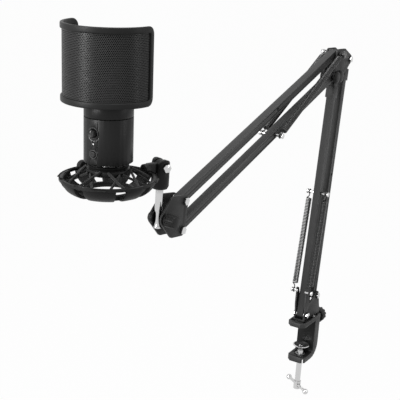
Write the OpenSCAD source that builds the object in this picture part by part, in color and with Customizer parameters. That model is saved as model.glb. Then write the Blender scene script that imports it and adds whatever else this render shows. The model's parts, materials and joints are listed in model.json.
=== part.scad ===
// Condenser microphone with a curved pop filter, in an elastic shock mount on a spring-balanced desk arm.
// Millimetres, +Z up.  The origin lies on the desk face of the clamp's upper jaw, on the axis of its screw.
// The arm reaches towards -X, its bars lie in the XZ plane, and the microphone faces -X.

/* [Desk clamp] */
// Width of the pressed steel bracket
clamp_w = 27; // [22:1:40]
// Sheet thickness of the bracket
clamp_t = 2.5; // [2:0.5:4]
// Height of the bracket's side flanges above the sheet
clamp_flange = 4; // [3:0.5:5]
// Depth of the rear channel that houses the pivot bush
clamp_channel = 15; // [14:1:20]
// Clear height between the jaws
jaw_gap = 50; // [40:1:70]
// Reach of the jaws in front of the screw axis
jaw_front = 28; // [20:1:40]
// Distance from the screw axis to the rear wall of the throat
jaw_back = 14; // [13.5:0.5:20]
// Diameter of the clamp screw
screw_d = 8; // [6:0.5:10]
// Length of the clamp screw
screw_len = 66; // [55:1:80]
// Diameter of the pressure cup
cup_d = 24; // [18:1:26]
// Height of the pressure cup's face below the upper jaw
desk_gap = 36; // [20:1:42]
// Length of the tommy bar between its ball ends
tommy_len = 50; // [40:1:60]
// Diameter of the lock knob
knob_d = 22; // [20:1:26]

/* [Arm] */
// Pivot-to-pivot length of the lower bars
lower_len = 345; // [250:5:450]
// Pivot-to-pivot length of the upper bars
upper_len = 398; // [300:2:480]
// Lean of the lower arm from upright, towards +X, in degrees
lower_lean = 5; // [0:1:15]
// Drop of the upper arm below level, in degrees
upper_drop = 19; // [0:1:30]
// Width of a bar across the arm
bar_w = 9.4; // [8:0.2:11]
// Depth of a bar in the plane of the arm
bar_h = 10.6; // [9:0.2:11.4]
// Wall of the square tube
bar_wall = 1.2; // [0.8:0.1:2]
// Diameter of the pivot bolts
bolt_d = 5; // [4:0.5:6]
// Thickness of the bracket plates
plate_t = 2; // [1.5:0.5:3]
// Gap for a washer between a bar and a plate
side_gap = 1.5; // [1:0.1:2.5]
// Distance along the lower bar to its spring bolt
lower_spring_at = 180; // [140:1:210]
// Distance along the upper bar to its spring bolt
upper_spring_at = 175; // [140:1:210]
// Outer diameter of the balance springs
spring_d = 8.4; // [7:0.2:9]

/* [Microphone post] */
// Diameter of the chrome post
post_d = 8; // [6:0.5:9]
// Height of the post above the wrist axis
post_rise = 32; // [24:1:40]
// Diameter of the swivel housing
housing_d = 18.6; // [17:0.2:22]

/* [Shock mount] */
// Outer radius of the cage ring
cage_r = 48; // [46:0.5:54]
// Height of the cage ring
cage_h = 11.5; // [9:0.5:14]
// Radial wall of the cage ring
cage_wall = 4; // [3:0.5:6]
// Outer radius of the lower ring
foot_ring_r = 27; // [22:0.5:32]
// Diameter of the elastic cords
elastic_d = 2.6; // [2:0.2:3]
// Turn of the mount about the microphone, in degrees
mount_turn = -19; // [-45:1:0]
// Distance from the outside of the mount's ring to its tilt bolt
lug_out = 16; // [15:0.5:30]
// Sag of the mount about its tilt bolt, in degrees
mount_sag = 2; // [0:0.5:8]

/* [Microphone] */
// Radius of the microphone body
mic_r = 24; // [22:0.5:27]
// Height of the lower body, up to the seam
body_h = 44; // [40:1:60]
// Height of the metal band above the seam
band_h = 12; // [8:1:20]
// Height of the head grille above the band
head_h = 62; // [50:1:75]
// Wall of the body shell
shell = 1.8; // [1.2:0.1:2.5]
// Height of the volume knob's axis above the underside
dial_z = 31; // [27:0.5:33]
// Height of the mute button's axis above the underside
mute_z = 10.5; // [9:0.5:13]

/* [Pop filter] */
// Outer radius of the filter frame
filter_r = 46; // [43:0.5:52]
// Height of the filter
filter_h = 74; // [60:1:90]
// Half of the angle that the filter spans, in degrees
filter_half = 100; // [80:1:110]
// Face width of the rubber frame
frame_w = 6; // [4:0.5:8]
// Radial thickness of the rubber frame
frame_t = 3.4; // [3:0.2:5]
// Height of the filter's lower edge above the underside of the body
filter_lift = 58.5; // [57:0.5:66]

/* [Hidden] */
$fn = 48;

running = 0.06;    // radial clearance of a turning fit
near_fit = 0.3;    // gap between curved faces of pieces that move apart
eps = 0.01;

// Pivots, as [x, z] in the plane of the arm
rear_offset = [31.5, 21.5];
upper_offset = [3, 31.5];
base_front = [-10.5, 15];
base_rear = base_front + rear_offset;
elbow_front = base_front + lower_len * [sin(lower_lean), cos(lower_lean)];
elbow_rear = elbow_front + rear_offset;
elbow_low = elbow_front - [bar_h + 1.8, 0];
elbow_top = elbow_low + upper_offset;
wrist_low = elbow_low - upper_len * [cos(upper_drop), sin(upper_drop)];
wrist_top = wrist_low + upper_offset;
wrist_axis = wrist_low + [-35.5, 19.5];
spring_pin = base_front + [-6.5, 37];

plate_in = bar_w / 2 + side_gap;
plate_out = plate_in + plate_t;
plate_r = 6.5;
spring_y = plate_out + spring_d / 2 - 0.4;
bolt_head_r = bolt_d * 0.9;
bolt_head_t = 3;

// Base
bush_x = jaw_back + clamp_t + clamp_channel / 2;
pin_r = 5;
bracket_z = clamp_t + clamp_flange + 0.5;

// Microphone and mount
tilt_z = wrist_axis[1] + 55;
lug_reach = cage_r + lug_out;
mic_x = wrist_axis[0] - lug_reach * cos(mount_turn);
mic_y = -lug_reach * sin(mount_turn);
mic_z = wrist_axis[1] + 70;
cage_z = tilt_z - 2.4;
ear_r = 6;
ear_at = cage_r - 3;
cradle_r = mic_r - 4;

// ---- helpers -------------------------------------------------------------------------------------------------------

// A rod along Y, from y0 to y1, on the pivot p
module y_rod(p, r, y0, y1) {
    translate([p[0], y1, p[1]]) rotate([90, 0, 0]) cylinder(r = r, h = y1 - y0);
}

// A plate parallel to the arm's plane: an outline in [x, z], from y0, t thick
module y_plate(y0, t) {
    translate([0, y0 + t, 0]) rotate([90, 0, 0]) linear_extrude(t) children();
}

// A convex plate outline round the given points, with corners of radius r
module round_outline(points, r) {
    hull() for (p = points) translate(p) circle(r = r);
}

// A square tube bar from pivot p, with round solid ends and cross holes at the distances in holes
module bar(p, angle, length, holes) {
    translate([p[0], 0, p[1]]) rotate([0, -angle, 0]) difference() {
        union() {
            translate([0, -bar_w / 2, -bar_h / 2]) cube([length, bar_w, bar_h]);
            y_rod([0, 0], bar_h / 2, -bar_w / 2, bar_w / 2);
            y_rod([length, 0], bar_h / 2, -bar_w / 2, bar_w / 2);
        }
        for (run = [[bar_h, holes[0] - bar_h], [holes[0] + bar_h, length - bar_h]])
            translate([run[0], -bar_w / 2 + bar_wall, -bar_h / 2 + bar_wall])
                cube([run[1] - run[0], bar_w - 2 * bar_wall, bar_h - 2 * bar_wall]);
        for (s = [0, length]) y_rod([s, 0], bolt_d / 2 + running, -bar_w, bar_w);
        y_rod([holes[0], 0], spring_bolt_r + running, -bar_w, bar_w);
    }
}
spring_bolt_r = 2;

// A hexagon-headed bolt on pivot p with a nut at its far end
module pivot_bolt(p, reach) {
    y_rod(p, bolt_d / 2, -reach, reach + bolt_head_t);
    translate([p[0], -reach, p[1]]) rotate([90, 0, 0]) cylinder(r = bolt_head_r, h = bolt_head_t, $fn = 6);
    translate([p[0], reach + bolt_head_t - 0.4, p[1]]) rotate([90, 0, 0]) cylinder(r = bolt_head_r, h = 2.6, $fn = 6);
}

// Four washers on pivot p, between the bar and the plates
module washer_pair(p) {
    for (y = [bar_w / 2 + 0.1, -plate_in + 0.1])
        difference() {
            y_rod(p, bolt_d, y, y + side_gap - 0.2);
            y_rod(p, bolt_d / 2 + running, y - 1, y + side_gap + 1);
        }
}

// A balance spring from pin a to pin b, as [x, z], at the given y: a closed coil body with an eye at each end
module balance_spring(a, b, y, eye_a, eye_b) {
    d = b - a;
    length = norm(d);
    wire = 0.7;
    hook = 12;
    translate([a[0], y, a[1]]) rotate([0, -atan2(d[1], d[0]), 0]) {
        translate([hook, 0, 0]) rotate([0, 90, 0]) cylinder(r = spring_d / 2, h = length - 2 * hook);
        for (end = [[0, eye_a, 1], [length, eye_b, -1]])
            translate([end[0], 0, 0]) {
                rotate([90, 0, 0]) rotate_extrude() translate([end[1] + near_fit + wire, 0]) circle(r = wire, $fn = 16);
                stem = hook - end[1] - near_fit - wire + 0.5;
                start = end[2] > 0 ? end[1] + near_fit + wire : -hook - 0.5;
                translate([start, 0, 0]) rotate([0, 90, 0]) cylinder(r = wire, h = stem, $fn = 16);
            }
    }
}

// Turns what hangs on the mount's tilt bolt down by the sag
module sagged() {
    translate([wrist_axis[0], 0, tilt_z]) rotate(a = -mount_sag, v = [-sin(mount_turn), cos(mount_turn), 0])
        translate([-wrist_axis[0], 0, -tilt_z]) children();
}

// The microphone's own place, and the shock mount's place with its lug along +X
module at_mic() { sagged() translate([mic_x, mic_y, mic_z]) children(); }
module at_mount() { sagged() translate([mic_x, mic_y, cage_z]) rotate([0, 0, mount_turn]) children(); }

// A ring of rectangular section
module ring(r_in, r_out, z0, z1) {
    rotate_extrude($fn = 96) translate([r_in, z0]) square([r_out - r_in, z1 - z0]);
}

// An arc wall about the microphone's axis, centred on -X
module arc_wall(r_in, r_out, z0, z1, half) {
    rotate([0, 0, 180 - half]) rotate_extrude(angle = 2 * half, $fn = 96)
        translate([r_in, z0]) square([r_out - r_in, z1 - z0]);
}

// ---- desk clamp ----------------------------------------------------------------------------------------------------

// Points of a quarter turn that leaves a vertical line at [x, ...] and meets a level line at [..., z]
function corner(x, z, r) = [for (a = [0 : 15 : 90]) [x - r + r * cos(a), z + r - r * sin(a)]];

// Side outline of the bracket: the bare sheet, or a flange that stands out by extra
module clamp_outline(extra) {
    back = jaw_back + clamp_t + (extra > 0 ? clamp_channel - clamp_t + 0.5 : 0);
    low = -jaw_gap - clamp_t - extra * 1.5;
    inner = [for (i = [6 : -1 : 0]) corner(jaw_back, -jaw_gap, throat_r)[i]];
    polygon(concat(
        [[-jaw_front, 0], [-jaw_front, clamp_t + extra], [back, clamp_t + extra]],
        corner(back, low, extra > 0 ? flange_r : throat_r + clamp_t),
        [[-lower_jaw_front, low], [-lower_jaw_front, -jaw_gap]],
        inner,
        [[jaw_back, 0]]
    ));
}
lower_jaw_front = jaw_front * 0.62;
throat_r = 5;
flange_r = 20;

// Plan outline of a jaw whose front reaches to -front, with its corners cut off
module jaw_plan(front, cut) {
    half = clamp_w / 2;
    polygon([[-front, half - cut], [-front + cut, half], [60, half], [60, -half], [-front + cut, -half],
             [-front, -half + cut]]);
}

module clamp_bracket() {
    half = clamp_w / 2;
    color("#3a3b3e") difference() {
        intersection() {
            union() {
                y_plate(-half, clamp_w) clamp_outline(0);
                y_plate(-half, flange_t) clamp_outline(clamp_flange);
                y_plate(half - flange_t, flange_t) clamp_outline(clamp_flange);
                // folded edges across the fronts of the jaws
                translate([-jaw_front, -half, 0]) cube([7, clamp_w, clamp_t + clamp_flange]);
                translate([-lower_jaw_front, -half, -jaw_gap - clamp_t - clamp_flange * 1.5])
                    cube([flange_t, clamp_w, clamp_t + clamp_flange * 1.5]);
            }
            union() {
                translate([0, 0, -jaw_gap / 2]) linear_extrude(jaw_gap) jaw_plan(jaw_front, 6);
                translate([0, 0, -jaw_gap * 1.5]) linear_extrude(jaw_gap) jaw_plan(lower_jaw_front, 5);
            }
        }
        // way for the pivot pin, the lock knob's shaft and the screw nut
        translate([bush_x, 0, -eps]) cylinder(r = pin_r + near_fit, h = clamp_t + 1);
        translate([0, 0, -jaw_gap - clamp_t - 1]) cylinder(r = nut_r + running, h = clamp_t + 2);
    }
}
nut_r = screw_d / 2 + 3;
flange_t = clamp_t * 0.8;

module pivot_bush() {
    // Steel block in the rear channel: a bore for the arm's pin and a cross hole for the lock screw
    inner = clamp_w - 2 * flange_t;
    color("#46474a") difference() {
        translate([jaw_back + clamp_t, -inner / 2, -bush_len]) cube([bush_depth, inner, bush_len]);
        translate([bush_x, 0, -bush_len - 1]) cylinder(r = pin_r + running, h = bush_len + 2);
        translate([bush_x, 0, lock_z]) rotate([0, 90, 0]) cylinder(r = lock_r + running, h = 40);
    }
}
bush_len = 26;
bush_depth = clamp_channel - 1;
lock_z = -6;
lock_r = 3;

module jaw_nut() {
    // Threaded collar pressed through the lower jaw
    color("#8d9094") difference() {
        union() {
            translate([0, 0, -jaw_gap - clamp_t - 5]) cylinder(r = nut_r, h = clamp_t + 5);
            translate([0, 0, -jaw_gap - clamp_t - 5]) cylinder(r = nut_r + 2, h = 5);
        }
        translate([0, 0, -jaw_gap - 20]) cylinder(r = screw_d / 2 + running, h = 40);
    }
}

module swivel_lock_knob() {
    front = bush_x + pin_r + near_fit;
    face = jaw_back + clamp_t + clamp_channel + 11;
    color("#17181a") translate([0, 0, lock_z]) {
        translate([front, 0, 0]) rotate([0, 90, 0]) cylinder(r = lock_r, h = face - front + 2);
        translate([face, 0, 0]) rotate([0, 90, 0]) cylinder(r1 = 6, r2 = 8, h = 4);
        translate([face + 4, 0, 0]) rotate([0, 90, 0]) difference() {
            cylinder(r = knob_d / 2, h = 12);
            for (i = [0 : 11]) rotate([0, 0, i * 30]) translate([knob_d / 2 + 1.2, 0, -1]) cylinder(r = 2.2, h = 14);
        }
    }
}

module pressure_cup() {
    // Swivelling cup on the ball end of the screw
    top = -desk_gap;
    color("#d5d7d9") difference() {
        union() {
            translate([0, 0, top - 2.5]) cylinder(r = cup_d / 2, h = 2.5);
            translate([0, 0, top - 6.5]) cylinder(r1 = ball_r + 2, r2 = cup_d / 2 - 2, h = 4);
        }
        translate([0, 0, top - 5]) sphere(r = ball_r + running);
        translate([0, 0, top - 9]) cylinder(r = screw_d / 2 - 0.4, h = 4);
    }
}
ball_r = 4.2;

screw_low = -desk_gap - 5 - screw_len;
tommy_z = screw_low + 6;
tommy_turn = -36;
tommy_r = 2.2;

module clamp_screw() {
    top = -desk_gap;
    color("#c9cbce") difference() {
        union() {
            translate([0, 0, top - 5]) sphere(r = ball_r);
            translate([0, 0, top - 9]) cylinder(r = screw_d / 2 - 0.9, h = 4.4);
            translate([0, 0, screw_low + 10]) cylinder(r = screw_d / 2, h = screw_len - 14);
            translate([0, 0, screw_low]) cylinder(r = screw_d / 2 + 1.2, h = 12);
        }
        translate([0, 0, tommy_z]) rotate([0, 0, tommy_turn]) rotate([90, 0, 0])
            translate([0, 0, -20]) cylinder(r = tommy_r + running, h = 40);
    }
}

module tommy_bar() {
    color("#c9cbce") translate([0, 0, tommy_z]) rotate([0, 0, tommy_turn]) rotate([90, 0, 0])
        translate([0, 0, -tommy_len / 2]) {
            cylinder(r = tommy_r, h = tommy_len);
            for (z = [0, tommy_len]) translate([0, 0, z]) sphere(r = 4.2);
        }
}

// ---- base ----------------------------------------------------------------------------------------------------------

module base_bracket() {
    floor_front = base_front[0] - 8;
    floor_back = max(base_rear[0] + 7, bush_x + pin_r + 2);
    side = [[floor_front + plate_r, bracket_z + 1], [floor_back - 2, bracket_z + 1], base_rear, base_front + [2, 6]];
    color("#404145") difference() {
        union() {
            translate([floor_front, -plate_out, bracket_z]) cube([floor_back - floor_front, 2 * plate_out, plate_t]);
            for (y = [-plate_out, plate_in]) y_plate(y, plate_t) intersection() {
                union() {
                    round_outline(side, plate_r);
                    round_outline([base_front, spring_pin, base_front + [6, 4]], plate_r - 1.5);
                }
                translate([floor_front, bracket_z]) square([100, 100]);
            }
        }
        for (p = [base_front, base_rear]) y_rod(p, bolt_d / 2 + running, -20, 20);
        y_rod(spring_pin, spring_bolt_r + running, -20, 20);
        translate([bush_x, 0, bracket_z - 1]) cylinder(r = pin_r - 1.5 + running, h = plate_t + 2);
    }
}

module base_pin() {
    color("#b9bbbe") {
        translate([bush_x, 0, -bush_len - 3]) cylinder(r = pin_r, h = bush_len + 3 + bracket_z);
        translate([bush_x, 0, bracket_z]) cylinder(r = pin_r - 1.5, h = plate_t + 0.8);
        translate([bush_x, 0, bracket_z + plate_t]) cylinder(r = pin_r, h = 1.2);
    }
}

module base_bolts() {
    color("#cfd1d3") for (p = [base_front, base_rear]) pivot_bolt(p, plate_out);
}

module base_washers() {
    color("#8d9094") for (p = [base_front, base_rear]) washer_pair(p);
}

module lower_spring_pins() {
    color("#cfd1d3") for (s = [-1, 1]) scale([1, s, 1]) {
        y_rod(spring_pin, spring_bolt_r, plate_in - 0.6, spring_y + 2.5);
        y_rod(spring_pin, spring_bolt_r + 1.2, spring_y + 2.5, spring_y + 4);
    }
}

// ---- lower arm -----------------------------------------------------------------------------------------------------

lower_angle = 90 - lower_lean;
lower_spring_end = base_front + lower_spring_at * [sin(lower_lean), cos(lower_lean)];

module sleeve(p, angle, from, length) {
    // Plastic collar on a bar's end
    wall = 1.4;
    translate([p[0], 0, p[1]]) rotate([0, -angle, 0])
        translate([from, -bar_w / 2 - wall, -bar_h / 2 - wall]) cube([length, bar_w + 2 * wall, bar_h + 2 * wall]);
}

module lower_front_bar() {
    color("#434448") {
        bar(base_front, lower_angle, lower_len, [lower_spring_at]);
        difference() {
            sleeve(base_front, lower_angle, lower_len - 30, 16);
            translate([base_front[0], 0, base_front[1]]) rotate([0, -lower_angle, 0])
                translate([lower_len - 31, -bar_w / 2 + bar_wall, -bar_h / 2 + bar_wall])
                    cube([18, bar_w - 2 * bar_wall, bar_h - 2 * bar_wall]);
        }
    }
}

module lower_rear_bar() {
    color("#434448") {
        bar(base_rear, lower_angle, lower_len, [lower_spring_at]);
        difference() {
            sleeve(base_rear, lower_angle, lower_len - 30, 16);
            translate([base_rear[0], 0, base_rear[1]]) rotate([0, -lower_angle, 0])
                translate([lower_len - 31, -bar_w / 2 + bar_wall, -bar_h / 2 + bar_wall])
                    cube([18, bar_w - 2 * bar_wall, bar_h - 2 * bar_wall]);
        }
    }
}

module lower_spring_bolt() {
    color("#cfd1d3") {
        y_rod(lower_spring_end, spring_bolt_r, -spring_y - 3, spring_y + 3);
        for (y = [-spring_y - 4.4, spring_y + 2.8]) y_rod(lower_spring_end, spring_bolt_r + 1.4, y, y + 1.6);
    }
}

module lower_spring(y) {
    color("#1c1d1f") balance_spring(spring_pin, lower_spring_end, y, spring_bolt_r, spring_bolt_r);
}
module lower_spring_near() { lower_spring(-spring_y); }
module lower_spring_far() { lower_spring(spring_y); }

// ---- elbow ---------------------------------------------------------------------------------------------------------

module elbow_plate(y) {
    outline = [elbow_low, elbow_front, elbow_rear, elbow_top + [20, -0.5], elbow_top];
    color("#3c3d40") difference() {
        y_plate(y, plate_t) round_outline(outline, plate_r);
        for (p = [elbow_low, elbow_front, elbow_rear, elbow_top]) y_rod(p, bolt_d / 2 + running, -20, 20);
    }
}
module elbow_plate_near() { elbow_plate(-plate_out); }
module elbow_plate_far() { elbow_plate(plate_in); }

module elbow_bolts() {
    color("#cfd1d3") {
        for (p = [elbow_low, elbow_front, elbow_rear]) pivot_bolt(p, plate_out);
        // the top bolt is longer and carries the eyes of the upper springs
        pivot_bolt(elbow_top, spring_y + 2.5);
    }
}

module elbow_washers() {
    color("#8d9094") for (p = [elbow_low, elbow_front, elbow_rear, elbow_top]) washer_pair(p);
}

// ---- upper arm -----------------------------------------------------------------------------------------------------

upper_angle = 180 + upper_drop;
upper_spring_end = elbow_low - upper_spring_at * [cos(upper_drop), sin(upper_drop)];

module upper_bottom_bar() { color("#434448") bar(elbow_low, upper_angle, upper_len, [upper_spring_at]); }
module upper_top_bar() { color("#434448") bar(elbow_top, upper_angle, upper_len, [upper_spring_at]); }

module upper_spring_bolt() {
    color("#cfd1d3") {
        y_rod(upper_spring_end, spring_bolt_r, -spring_y - 3, spring_y + 3);
        for (y = [-spring_y - 4.4, spring_y + 2.8]) y_rod(upper_spring_end, spring_bolt_r + 1.4, y, y + 1.6);
    }
}

module upper_spring(y) {
    color("#1c1d1f") balance_spring(upper_spring_end, elbow_top, y, spring_bolt_r, bolt_d / 2);
}
module upper_spring_near() { upper_spring(-spring_y); }
module upper_spring_far() { upper_spring(spring_y); }

// ---- wrist ---------------------------------------------------------------------------------------------------------

module wrist_plate(y) {
    outline = [wrist_low, wrist_top, wrist_top + [-22, 3], wrist_axis, wrist_low + [-18, 2]];
    color("#3c3d40") difference() {
        y_plate(y, plate_t) round_outline(outline, plate_r);
        for (p = [wrist_low, wrist_top]) y_rod(p, bolt_d / 2 + running, -20, 20);
        y_rod(wrist_axis, barrel_pin_r + running, -20, 20);
    }
}
module wrist_plate_near() { wrist_plate(-plate_out); }
module wrist_plate_far() { wrist_plate(plate_in); }

module wrist_bolts() {
    color("#cfd1d3") for (p = [wrist_low, wrist_top]) pivot_bolt(p, plate_out);
}

module wrist_washers() {
    color("#8d9094") for (p = [wrist_low, wrist_top]) washer_pair(p);
}

barrel_r = 6.5;
barrel_pin_r = 3;

module tilt_barrel() {
    // Cross barrel between the plates, drilled upright for the post, with a trunnion in each plate
    color("#1b1c1e") difference() {
        union() {
            y_rod(wrist_axis, barrel_r, -plate_in + 0.1, plate_in - 0.1);
            y_rod(wrist_axis, barrel_pin_r, -plate_out - 4, plate_out + 1.5);
            y_rod(wrist_axis, barrel_pin_r + 1.8, plate_out + 0.2, plate_out + 1.7);
        }
        translate([wrist_axis[0], 0, wrist_axis[1] - 20]) cylinder(r = post_low_r + running, h = 40);
        // the half in front of the post is milled away, so the post lies in an open seat
        translate([wrist_axis[0] - barrel_r - 1, -plate_in + 0.1, wrist_axis[1] - barrel_r - 1])
            cube([barrel_r + 1, plate_in + post_low_r + 0.3, 2 * barrel_r + 2]);
    }
}
post_low_r = post_d / 2 - 0.5;

module tilt_knob() {
    inner = -plate_out - 0.2;
    color("#17181a") difference() {
        union() {
            y_rod(wrist_axis, 5, inner - 3, inner);
            y_rod(wrist_axis, 7, inner - 15, inner - 3);
        }
        y_rod(wrist_axis, barrel_pin_r + running, -plate_out - 4.5, 0);
        for (i = [0 : 9]) y_rod(wrist_axis + 7.8 * [cos(i * 36), sin(i * 36)], 1.6, inner - 16, inner - 4);
    }
}

module mic_post() {
    z = wrist_axis[1];
    color("#d9dadc") translate([wrist_axis[0], 0, 0]) {
        translate([0, 0, z - 9.5]) cylinder(r = post_low_r, h = 20);
        translate([0, 0, z - 10.5]) cylinder(r = post_d / 2 - 0.1, h = 2.4);
        translate([0, 0, z + barrel_r + 1.2]) cylinder(r = post_d / 2, h = post_rise - barrel_r - 1.2 + 12);
    }
}

// ---- swivel --------------------------------------------------------------------------------------------------------

lug_t = 7;
lug_r = 8;
tilt_bolt_r = 2.5;

// Tilt axis of the mount, with +X of the mount's frame pointing from the microphone to the post
module at_swivel() {
    translate([wrist_axis[0], 0, tilt_z]) rotate([0, 0, mount_turn]) children();
}

module swivel_housing() {
    // Round socket on the post with two ears for the mount's toothed lug
    base = wrist_axis[1] + post_rise - tilt_z;
    r = housing_d / 2;
    color("#1b1c1e") at_swivel() difference() {
        union() {
            translate([0, 0, base]) cylinder(r1 = r - 1.5, r2 = r, h = 3);
            translate([0, 0, base + 3]) cylinder(r = r, h = -base - lug_r - 1 - 3);
            intersection() {
                union() {
                    y_rod([0, 0], lug_r, -r, r);
                    translate([-lug_r, -r, base + 4]) cube([2 * lug_r, 2 * r, -base - 4]);
                }
                translate([0, 0, base]) cylinder(r = r, h = 60);
            }
        }
        translate([-20, -lug_t / 2 - near_fit, -lug_r - 3]) cube([40, lug_t + 2 * near_fit, 40]);
        // flat seats for the bolt's head and nut
        y_rod([0, 0], 5.2, -r - 5, -r + 0.6);
        y_rod([0, 0], 5.2, r - 0.6, r + 5);
        y_rod([0, 0], tilt_bolt_r + running, -20, 20);
        translate([0, 0, base - 1]) cylinder(r = post_d / 2 + running, h = 14);
    }
}

module tilt_bolt() {
    r = housing_d / 2;
    color("#cfd1d3") at_swivel() {
        y_rod([0, 0], tilt_bolt_r, -r - 1, r + 3);
        translate([0, -r + 0.6, 0]) rotate([90, 0, 0]) cylinder(r = 4.6, h = 3.4, $fn = 6);
        translate([0, r + 2.4, 0]) rotate([90, 0, 0]) cylinder(r = 4.2, h = 3, $fn = 6);
    }
}

// ---- shock mount ---------------------------------------------------------------------------------------------------

lower_z = -13.5;   // middle of the lower ring, from the middle of the cage ring

// A curved rib, like a slice of a bowl, from the main ring down and in to the lower ring
module bowl_rib(angle) {
    top = -cage_h / 2 + 1;
    low = lower_z - 2.5;
    outer = [for (a = [0 : 15 : 90]) [foot_ring_r - 1 + (cage_r - foot_ring_r) * cos(a), top + (low - top) * sin(a)]];
    inner = [for (a = [90 : -15 : 0])
        [foot_ring_r - 1 + (cage_r - foot_ring_r - rib_t) * cos(a), top + (low - top + rib_t) * sin(a)]];
    rotate([0, 0, -angle / 2]) rotate_extrude(angle = angle, $fn = 96) polygon(concat(outer, inner));
}
rib_t = 3.4;

module shock_cage() {
    // Moulded cage: main ring, lower ring, curved ribs between them, corner posts, blocks, two bosses and the lug
    color("#18191b") at_mount() difference() {
        union() {
            ring(cage_r - cage_wall, cage_r, -cage_h / 2, cage_h / 2);
            ring(foot_ring_r - 5, foot_ring_r, lower_z - 2.5, lower_z + 2.5);
            for (i = [0 : 3]) rotate([0, 0, i * 90]) {
                bowl_rib(24);
                rotate([0, 0, 45]) bowl_rib(40);
                // block on the ring half way between the posts
                rotate([0, 0, 45]) translate([cage_r - cage_wall - 1, -7, -cage_h / 2 - 0.5])
                    cube([cage_wall + 2.2, 14, cage_h + 1]);
            }
            // post and round boss at the lug and a quarter turn from it
            for (i = [0, 1]) rotate([0, 0, i * 90]) {
                translate([ear_at - 3, -3.5, -cage_h / 2 - 2]) cube([6, 7, cage_h + 2]);
                translate([ear_at - 3, 0, ear_z]) rotate([0, 90, 0]) cylinder(r = ear_r, h = ear_t);
            }
            // lug to the swivel
            translate([cage_r - 1, -lug_t / 2, 2.4 - 5]) cube([lug_reach - cage_r, lug_t, 10]);
            translate([lug_reach, 0, 2.4]) y_rod([0, 0], lug_r - 0.6, -lug_t / 2, lug_t / 2);
        }
        translate([lug_reach, 0, 2.4]) y_rod([0, 0], tilt_bolt_r + running, -20, 20);
    }
}

ear_z = 1.5 + cage_h / 2;
ear_t = 6.4;
hook_z = mic_z - cage_z - 9;   // level of the rim on the cradle that the cords hook on

// A straight round cord between two points
module cord(a, b, r) {
    d = b - a;
    flat = norm([d[0], d[1]]);
    translate(a) rotate([0, atan2(flat, d[2]), atan2(d[1], d[0])]) cylinder(r = r, h = norm(d));
}

module elastic_cords() {
    // Crossing pairs of elastic on both sides of each block, from the ring's inner wall up to the cradle's rim
    r = elastic_d / 2;
    ring_r = cage_r - cage_wall - r - 0.4;
    rim_r = cradle_r + 1.2 + r + 0.3;
    color("#101112") at_mount() for (i = [0 : 3], s = [-1, 1], pair = cord_pairs) rotate([0, 0, 45 + i * 90])
        cord(
            [ring_r * cos(pair[0]), s * ring_r * sin(pair[0]), pair[2] - 4],
            [rim_r * cos(pair[1]), s * rim_r * sin(pair[1]), pair[2] + hook_z],
            r
        );
}
// Each cord of a crossing pair: its angle from the block at the ring, at the cradle, and its height from the other
cord_gap = elastic_d + 0.6;
cord_pairs = [[9, 38, -cord_gap / 2], [34, 12, cord_gap / 2]];

module mic_cradle() {
    // Cone under the microphone with a rim for the elastic cords
    z0 = hook_z;
    color("#141517") at_mount() difference() {
        union() {
            translate([0, 0, z0 - 3.5]) cylinder(r1 = cradle_r - 3.5, r2 = cradle_r + 0.5, h = 9.5, $fn = 96);
            translate([0, 0, z0 - 3.2]) cylinder(r = cradle_r + 1.2, h = 5.4, $fn = 96);
        }
        translate([0, 0, z0 - 6]) cylinder(r = stud_r + running, h = 20);
        translate([0, 0, z0 + 3]) cylinder(r = cradle_r - 3, h = 10);
    }
}

stud_r = 7.9;      // a 5/8 inch microphone thread

module cradle_stud() {
    // Threaded stud that screws up into the microphone's base
    color("#b9bbbe") at_mount() {
        translate([0, 0, hook_z - 5.5]) cylinder(r = stud_r + 2.5, h = 2);
        translate([0, 0, hook_z - 5]) cylinder(r = stud_r, h = 19.5);
    }
}

// ---- microphone ----------------------------------------------------------------------------------------------------

module front_hole(z, r) {
    translate([-mic_r - 5, 0, z]) rotate([0, 90, 0]) cylinder(r = r, h = 5 + shell + 4);
}

module mic_body() {
    color("#1a1b1d") at_mic() difference() {
        cylinder(r = mic_r, h = body_h, $fn = 96);
        translate([0, 0, 3]) cylinder(r = mic_r - shell, h = body_h, $fn = 96);
        translate([0, 0, -1]) cylinder(r = mic_r - 6, h = 6, $fn = 96);
        front_hole(dial_z, dial_hole_r);
        front_hole(mute_z, mute_hole_r);
        front_hole(light_z, 0.9 + running);
        translate([mic_r - shell - 5, -usb_w / 2, usb_z - usb_h / 2]) cube([12, usb_w, usb_h]);
    }
}
dial_hole_r = 4.4;
mute_hole_r = 3.3;
light_z = 20.5;
usb_z = 14;
usb_w = 12;
usb_h = 7;

module bottom_cap() {
    color("#141517") at_mic() difference() {
        union() {
            translate([0, 0, -0.8]) cylinder(r = mic_r - 6 - running, h = 3.8, $fn = 96);
            translate([0, 0, 3]) cylinder(r = mic_r - shell - 0.3, h = 3, $fn = 96);
        }
        translate([0, 0, -2]) cylinder(r = stud_r + running, h = 20);
    }
}

module metal_band() {
    color("#222326") at_mic() difference() {
        translate([0, 0, body_h + 0.6]) cylinder(r = mic_r, h = band_h - 0.6, $fn = 96);
        translate([0, 0, body_h - 1]) cylinder(r = mic_r - shell, h = band_h + 2, $fn = 96);
    }
    // spigot that joins the band to the body
    color("#222326") at_mic() {
        ring(mic_r - 2 * shell, mic_r - shell - running, body_h - 3, body_h + band_h);
        ring(mic_r - 2 * shell, mic_r - shell + 0.5, body_h + 0.6, body_h + band_h);
    }
}

head_z = body_h + band_h;

module head_grille() {
    color("#26272a") at_mic() difference() {
        translate([0, 0, head_z]) cylinder(r = mic_r - 0.4, h = head_h - 6, $fn = 96);
        translate([0, 0, head_z - 1]) cylinder(r = mic_r - 1.2, h = head_h, $fn = 96);
    }
}

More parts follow.
